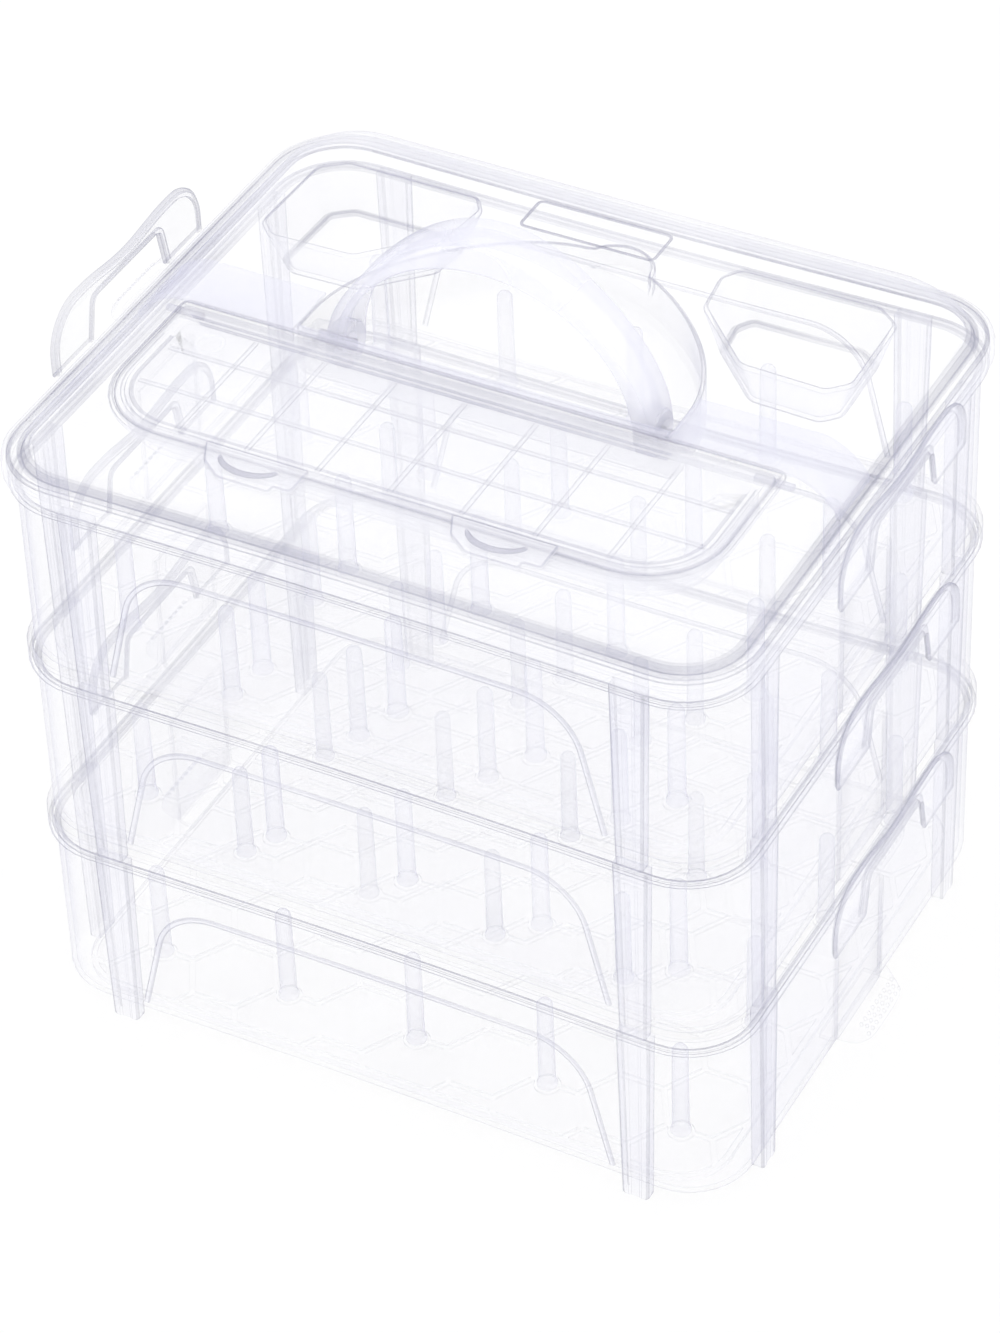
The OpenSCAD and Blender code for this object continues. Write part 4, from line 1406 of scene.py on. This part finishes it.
@dataclass
class CompartmentCover:
    """Hinged cover with a stepped rim, a round-cornered field and a grid of fine ribs."""

    half: float = 104.0
    front: float = -80.0
    hinge: float = -19.0
    radius: float = 26.0
    low: float = DECK - 2.0
    top: float = DECK
    barrel: float = 2.2
    tab_x: float = 42.5
    tab_lift: float = 0.1
    crescent: float = 10.5

    def build(self, finish: Finish) -> None:
        """Builds the cover and its snap tabs and places them.

        Args:
            finish: the box's finishes.
        """
        put(self.lid_plate(finish), "cover", "clear_cover", "compartment_cover")
        for side in Side:
            put(self.tab(finish, side), "cover", "clear_cover", f"cover_snap_tab_{side.word}")

    def lid_plate(self, finish: Finish) -> bpy.types.Object:
        """Builds the plate with its stepped rim, its barrel, ribs and gate marks.

        Args:
            finish: the box's finishes.

        Returns:
            The object: rings of a stepped section round the plate, a rod along the hinge,
            nine low bars below the field and two small turned rings on it.
        """
        low, top = self.low, self.top
        # Distance inside the edge and height, from the underside over the rim to the field
        rows = [
            (14.0, low), (6.0, low), (1.2, low), (0.4, low + 0.3), (0.0, low + 0.8), (0.0, top - 0.5),
            (0.15, top - 0.15), (0.6, top), (1.9, top), (2.3, top - 0.45), (3.1, top - 0.45),
            (3.5, top), (4.6, top), (5.0, top - 0.45), (5.6, top - 0.45), (6.1, top - 0.2),
            (14.0, top - 0.2),
        ]
        d, z = np.array(rows).T
        back = self.hinge + 0.4 - np.where(d <= 1.2, 0.0, d * 0.9 + 1.6)
        ring = Outline(np.linspace(-70, 70, 21), np.array([-50.0, -42, -34]), 10)
        rings = ring.rings(self.half - d, self.front + d, back, self.radius - d, 2.0 + d * 0.5, z)
        skin = Skin("compartment_cover_skin").grid(rings, wrap_columns=True, fine=0.75)
        skin.cap(rings[0], down=True).cap(rings[-1])
        turn = np.linspace(0, 2 * math.pi, 20, endpoint=False)
        circle = self.barrel * np.column_stack([np.cos(turn), np.sin(turn)])
        axis_z = DECK - self.barrel
        path = np.array([[-self.half, self.hinge, axis_z], [self.half, self.hinge, axis_z]])
        skin.rod(bead(path, Y_AXIS, Z_AXIS, circle))
        rib = np.array([(-0.8, 0.1), (-0.7, -0.7), (0.7, -0.7), (0.8, 0.1)])
        for x in np.linspace(-74.25, 74.25, 7):
            path = np.array([[x, self.front + 6.5, low], [x, -24.0, low]])
            skin.ribbon(bead(path, X_AXIS, Z_AXIS, rib), 0.85)
        for y in (-56.3, -37.7):
            path = np.array([[-98.0, y, low], [98.0, y, low]])
            skin.ribbon(bead(path, Y_AXIS, Z_AXIS, rib), 0.85)
        gate = np.array([(3.9, 0.0), (4.0, 0.18), (4.5, 0.25), (5.0, 0.18), (5.1, 0.0), (3.9, 0.0)])
        for x, y in ((-86.0, -33.0), (82.0, -62.0)):
            skin.lathe(gate, 28, np.array([x, y, top - 0.22]))
        return skin.make(finish.cover, finish.line, sharp=28)

    def tab(self, finish: Finish, side: Side) -> bpy.types.Object:
        """Builds a snap tab: a low wing with a raised crescent for the thumb.

        Args:
            finish: the box's finishes.
            side: which of the two tabs.

        Returns:
            The object. The crescent is an arc whose width is 1.3 sin(a) to the 0.7 plus 0.1.
        """
        z, front = DECK + self.tab_lift, self.front
        corners = [(-18, front + 1.5, 0.5), (-14, front - 7, 3.0), (-6, front - 13, 5.0)]
        corners += [(12, front - 13, 1.2), (12, front - 10, 1.0), (18, front - 10, 1.5)]
        out = soft_polygon(corners + [(18, front + 1.5, 0.5)], 5)
        rows = ((0.3, 0.0), (0.0, 0.3), (0.0, 1.1), (0.15, 1.4), (0.6, 1.5))
        rings = np.array([raised(grow(out, -s), z + h) for s, h in rows])
        skin = Skin(f"snap_tab_{side.word}").rod(rings, fine=0.5)
        a = np.radians(np.linspace(20, 160, 21))
        arc_y = front - 1.5 - 7.0 * np.sin(a)
        path = np.column_stack([self.crescent * np.cos(a), arc_y, np.full(len(a), z + 1.4)])
        width = 1.3 * np.sin(a) ** 0.7 + 0.1
        across = np.column_stack([np.cos(a), -np.sin(a), np.zeros(len(a))]) * width[:, None]
        section = np.array([(-1.0, 0.0), (-0.7, 0.5), (0.0, 0.8), (0.7, 0.5), (1.0, 0.0), (0.0, -0.2)])
        skin.rod(bead(path, across, Z_AXIS, section), fine=2.0)
        skin.warp(lambda p: p + [side.value * self.tab_x, 0, 0])
        return skin.make(finish.cover, finish.line, sharp=40)


@dataclass
class CarryHandle:
    """Arch of channel section, open inwards, with a round eye on each leg."""

    radius: float = 57.5
    depth: float = 16.0
    crown: float = 10.5
    leg: float = 6.5
    side_t: float = 2.0
    skin_t: float = 2.4
    eye: float = 8.0

    def build(self, finish: Finish) -> None:
        """Builds the handle and places it.

        The outer radius is 57.5 - 3.5 sin(2a) squared, the inner one runs from the leg's
        inner face to the crown's as sin(a) squared, and a channel section is carried from one
        leg to the other.

        Args:
            finish: the box's finishes.
        """
        a = np.radians(np.linspace(0, 180, 73))
        leg_in = self.radius - self.leg
        outer = self.radius - 3.5 * np.sin(2 * a) ** 2
        inner = leg_in - (leg_in - self.radius + self.crown) * np.sin(a) ** 2
        half = self.depth / 2
        wall, skin_t = half - self.side_t, self.skin_t
        # Share of the way from the outer to the inner radius, step inwards from there, and Y
        near = [
            (0.0, 0.0, half - 0.9), (0.0, 0.3, half - 0.3), (0.0, 0.9, half), (1.0, -0.5, half),
            (1.0, 0.0, half - 0.5), (1.0, 0.0, wall + 0.4), (1.0, -0.4, wall),
            (0.0, skin_t + 0.5, wall), (0.0, skin_t, wall - 0.5),
        ]
        far = [(share, down, -y) for share, down, y in near[::-1]]
        share, down, y = np.array([*far[6:], *near, *far[:6]]).T[:, None]
        r = outer[:, None] * (1 - share) + inner[:, None] * share - down
        place = [r * np.cos(a)[:, None], np.broadcast_to(y, r.shape) + HANDLE_Y]
        ring = np.stack(place + [r * np.sin(a)[:, None] + PIVOT_Z], axis=2)
        skin = Skin("carry_handle_skin").rod(ring)
        eye, out = self.eye, self.radius
        profile = [(PIN_BORE, leg_in), (eye - 0.6, leg_in), (eye, leg_in + 0.6), (eye, out - 0.6)]
        profile += [(eye - 0.6, out), (PIN_BORE, out), (PIN_BORE, leg_in)]
        for side in Side:
            place = np.array([0.0, HANDLE_Y, PIVOT_Z])
            skin.lathe(np.array(profile) * [1, side.value], 36, place, "x")
        piece = skin.make(finish.handle, finish.line, bevel=0.3, sharp=35)
        put(piece, "handle", "clear_handle", "carry_handle")


class CarriedOver:
    """CAD nodes whose shape is right and which only get a better finish."""

    def build(self, finish: Finish) -> None:
        """Gives the spool boards and the pins their materials.

        Args:
            finish: the box's finishes.
        """
        plan = {f"spool_board_{word}": finish.board for word in LEVELS}
        for side in Side:
            plan[f"cover_hinge_pin_{side.word}"] = finish.pin
            plan[f"handle_pivot_pin_{side.word}"] = finish.pin
        for name, material in plan.items():
            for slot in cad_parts[name].material_slots:
                slot.material = material
            LOG.info("%s: dressed", name)


# Stage


@dataclass(frozen=True)
class Studio:
    """White sweep, even soft light and the camera. Sizes of the stage are metres."""

    # The camera's place and directions, fitted to the edges of the box in the photograph
    place: tuple[float, float, float] = (0.60763, -1.09704, 1.15275)
    right: tuple[float, float, float] = (0.8851, 0.4643, -0.0313)
    up: tuple[float, float, float] = (-0.2762, 0.5781, 0.7678)
    ahead: tuple[float, float, float] = (-0.3746, 0.6709, -0.6399)
    focal: float = 134.59
    sensor: float = 36.0
    floor_half: float = 6.0
    glow: float = 1.12
    aim: tuple[float, float, float] = (0.0, 0.0, 0.1)

    def build(self) -> None:
        """Sets up the floor, the lights, the world, the camera and the light paths."""
        self.floor()
        self.world()
        self.lamp("key_softbox", (-1.1, -1.5, 2.4), 2.2, 8.0)
        self.lamp("fill_softbox", (1.9, -0.9, 1.7), 1.8, 5.0)
        self.camera()
        scene = bpy.context.scene
        scene.view_settings.view_transform = "Standard"
        # Enough for a ray to pass both surfaces of every clear wall in its way
        scene.cycles.transparent_max_bounces = 128
        scene.cycles.max_bounces = 3
        scene.cycles.diffuse_bounces = 2
        scene.cycles.glossy_bounces = 2

    def floor(self) -> None:
        """Makes a large flat sheet of paper under the box."""
        mesh = bpy.data.meshes.new("paper_floor")
        h = self.floor_half
        mesh.from_pydata([(-h, -h, 0), (h, -h, 0), (h, h, 0), (-h, h, 0)], [], [(0, 1, 2, 3)])
        mesh.materials.append(Backdrop().build())
        sheet = bpy.data.objects.new("paper_floor", mesh)
        bpy.context.scene.collection.objects.link(sheet)

    def world(self) -> None:
        """Lights the scene evenly from all round, and shows plain white to the camera."""
        world = bpy.data.worlds.new("studio_dome")
        n = Nodes(world, "OutputWorld")
        glow = n.add("Background", (srgb("FFFFFF"), self.glow))
        white = n.add("Background", (srgb("FFFFFF"), 1.0))
        seen = n.add("LightPath").outputs["Is Camera Ray"]
        n.surface(n.add("MixShader", (seen, glow.outputs[0], white.outputs[0])))
        bpy.context.scene.world = world

    def lamp(self, name: str, place: tuple[float, float, float], size: float, power: float) -> None:
        """Adds a square soft light that looks at the box.

        Args:
            name: name of the lamp.
            place: where it stands, in metres.
            size: side of its square, in metres.
            power: its power in watts.
        """
        light = bpy.data.lights.new(name, "AREA")
        light.energy, light.size = power, size
        lamp = bpy.data.objects.new(name, light)
        bpy.context.scene.collection.objects.link(lamp)
        lamp.location = place
        lamp.rotation_euler = (Vector(self.aim) - Vector(place)).to_track_quat("-Z", "Y").to_euler()

    def camera(self) -> None:
        """Places the camera at the photograph's angle."""
        lens = bpy.data.cameras.new("camera")
        lens.lens, lens.sensor_width, lens.sensor_fit = self.focal, self.sensor, "AUTO"
        lens.clip_start, lens.clip_end = 0.05, 30.0
        cam = bpy.data.objects.new("camera", lens)
        bpy.context.scene.collection.objects.link(cam)
        turn = Matrix((self.right, self.up, tuple(-v for v in self.ahead))).transposed()
        turn = turn.to_quaternion().normalized().to_matrix().to_4x4()
        cam.matrix_world = Matrix.Translation(self.place) @ turn
        bpy.context.scene.camera = cam


def main() -> None:
    """Builds the box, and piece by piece."""
    logging.basicConfig(level=logging.INFO, format="%(name)s: %(message)s")
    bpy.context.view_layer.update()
    finish = Finish()
    for level in range(len(LEVELS)):
        TrayShell(level).build(finish)
        SpoolPegs(level).build(finish)
        for side in Side:
            GuardEar(level, side).build(finish)
            LatchTongue(level, side).build(finish)
    LidShell().build(finish)
    CompartmentCover().build(finish)
    CarryHandle().build(finish)
    CarriedOver().build(finish)
    Studio().build()


if __name__ == "__main__":
    main()
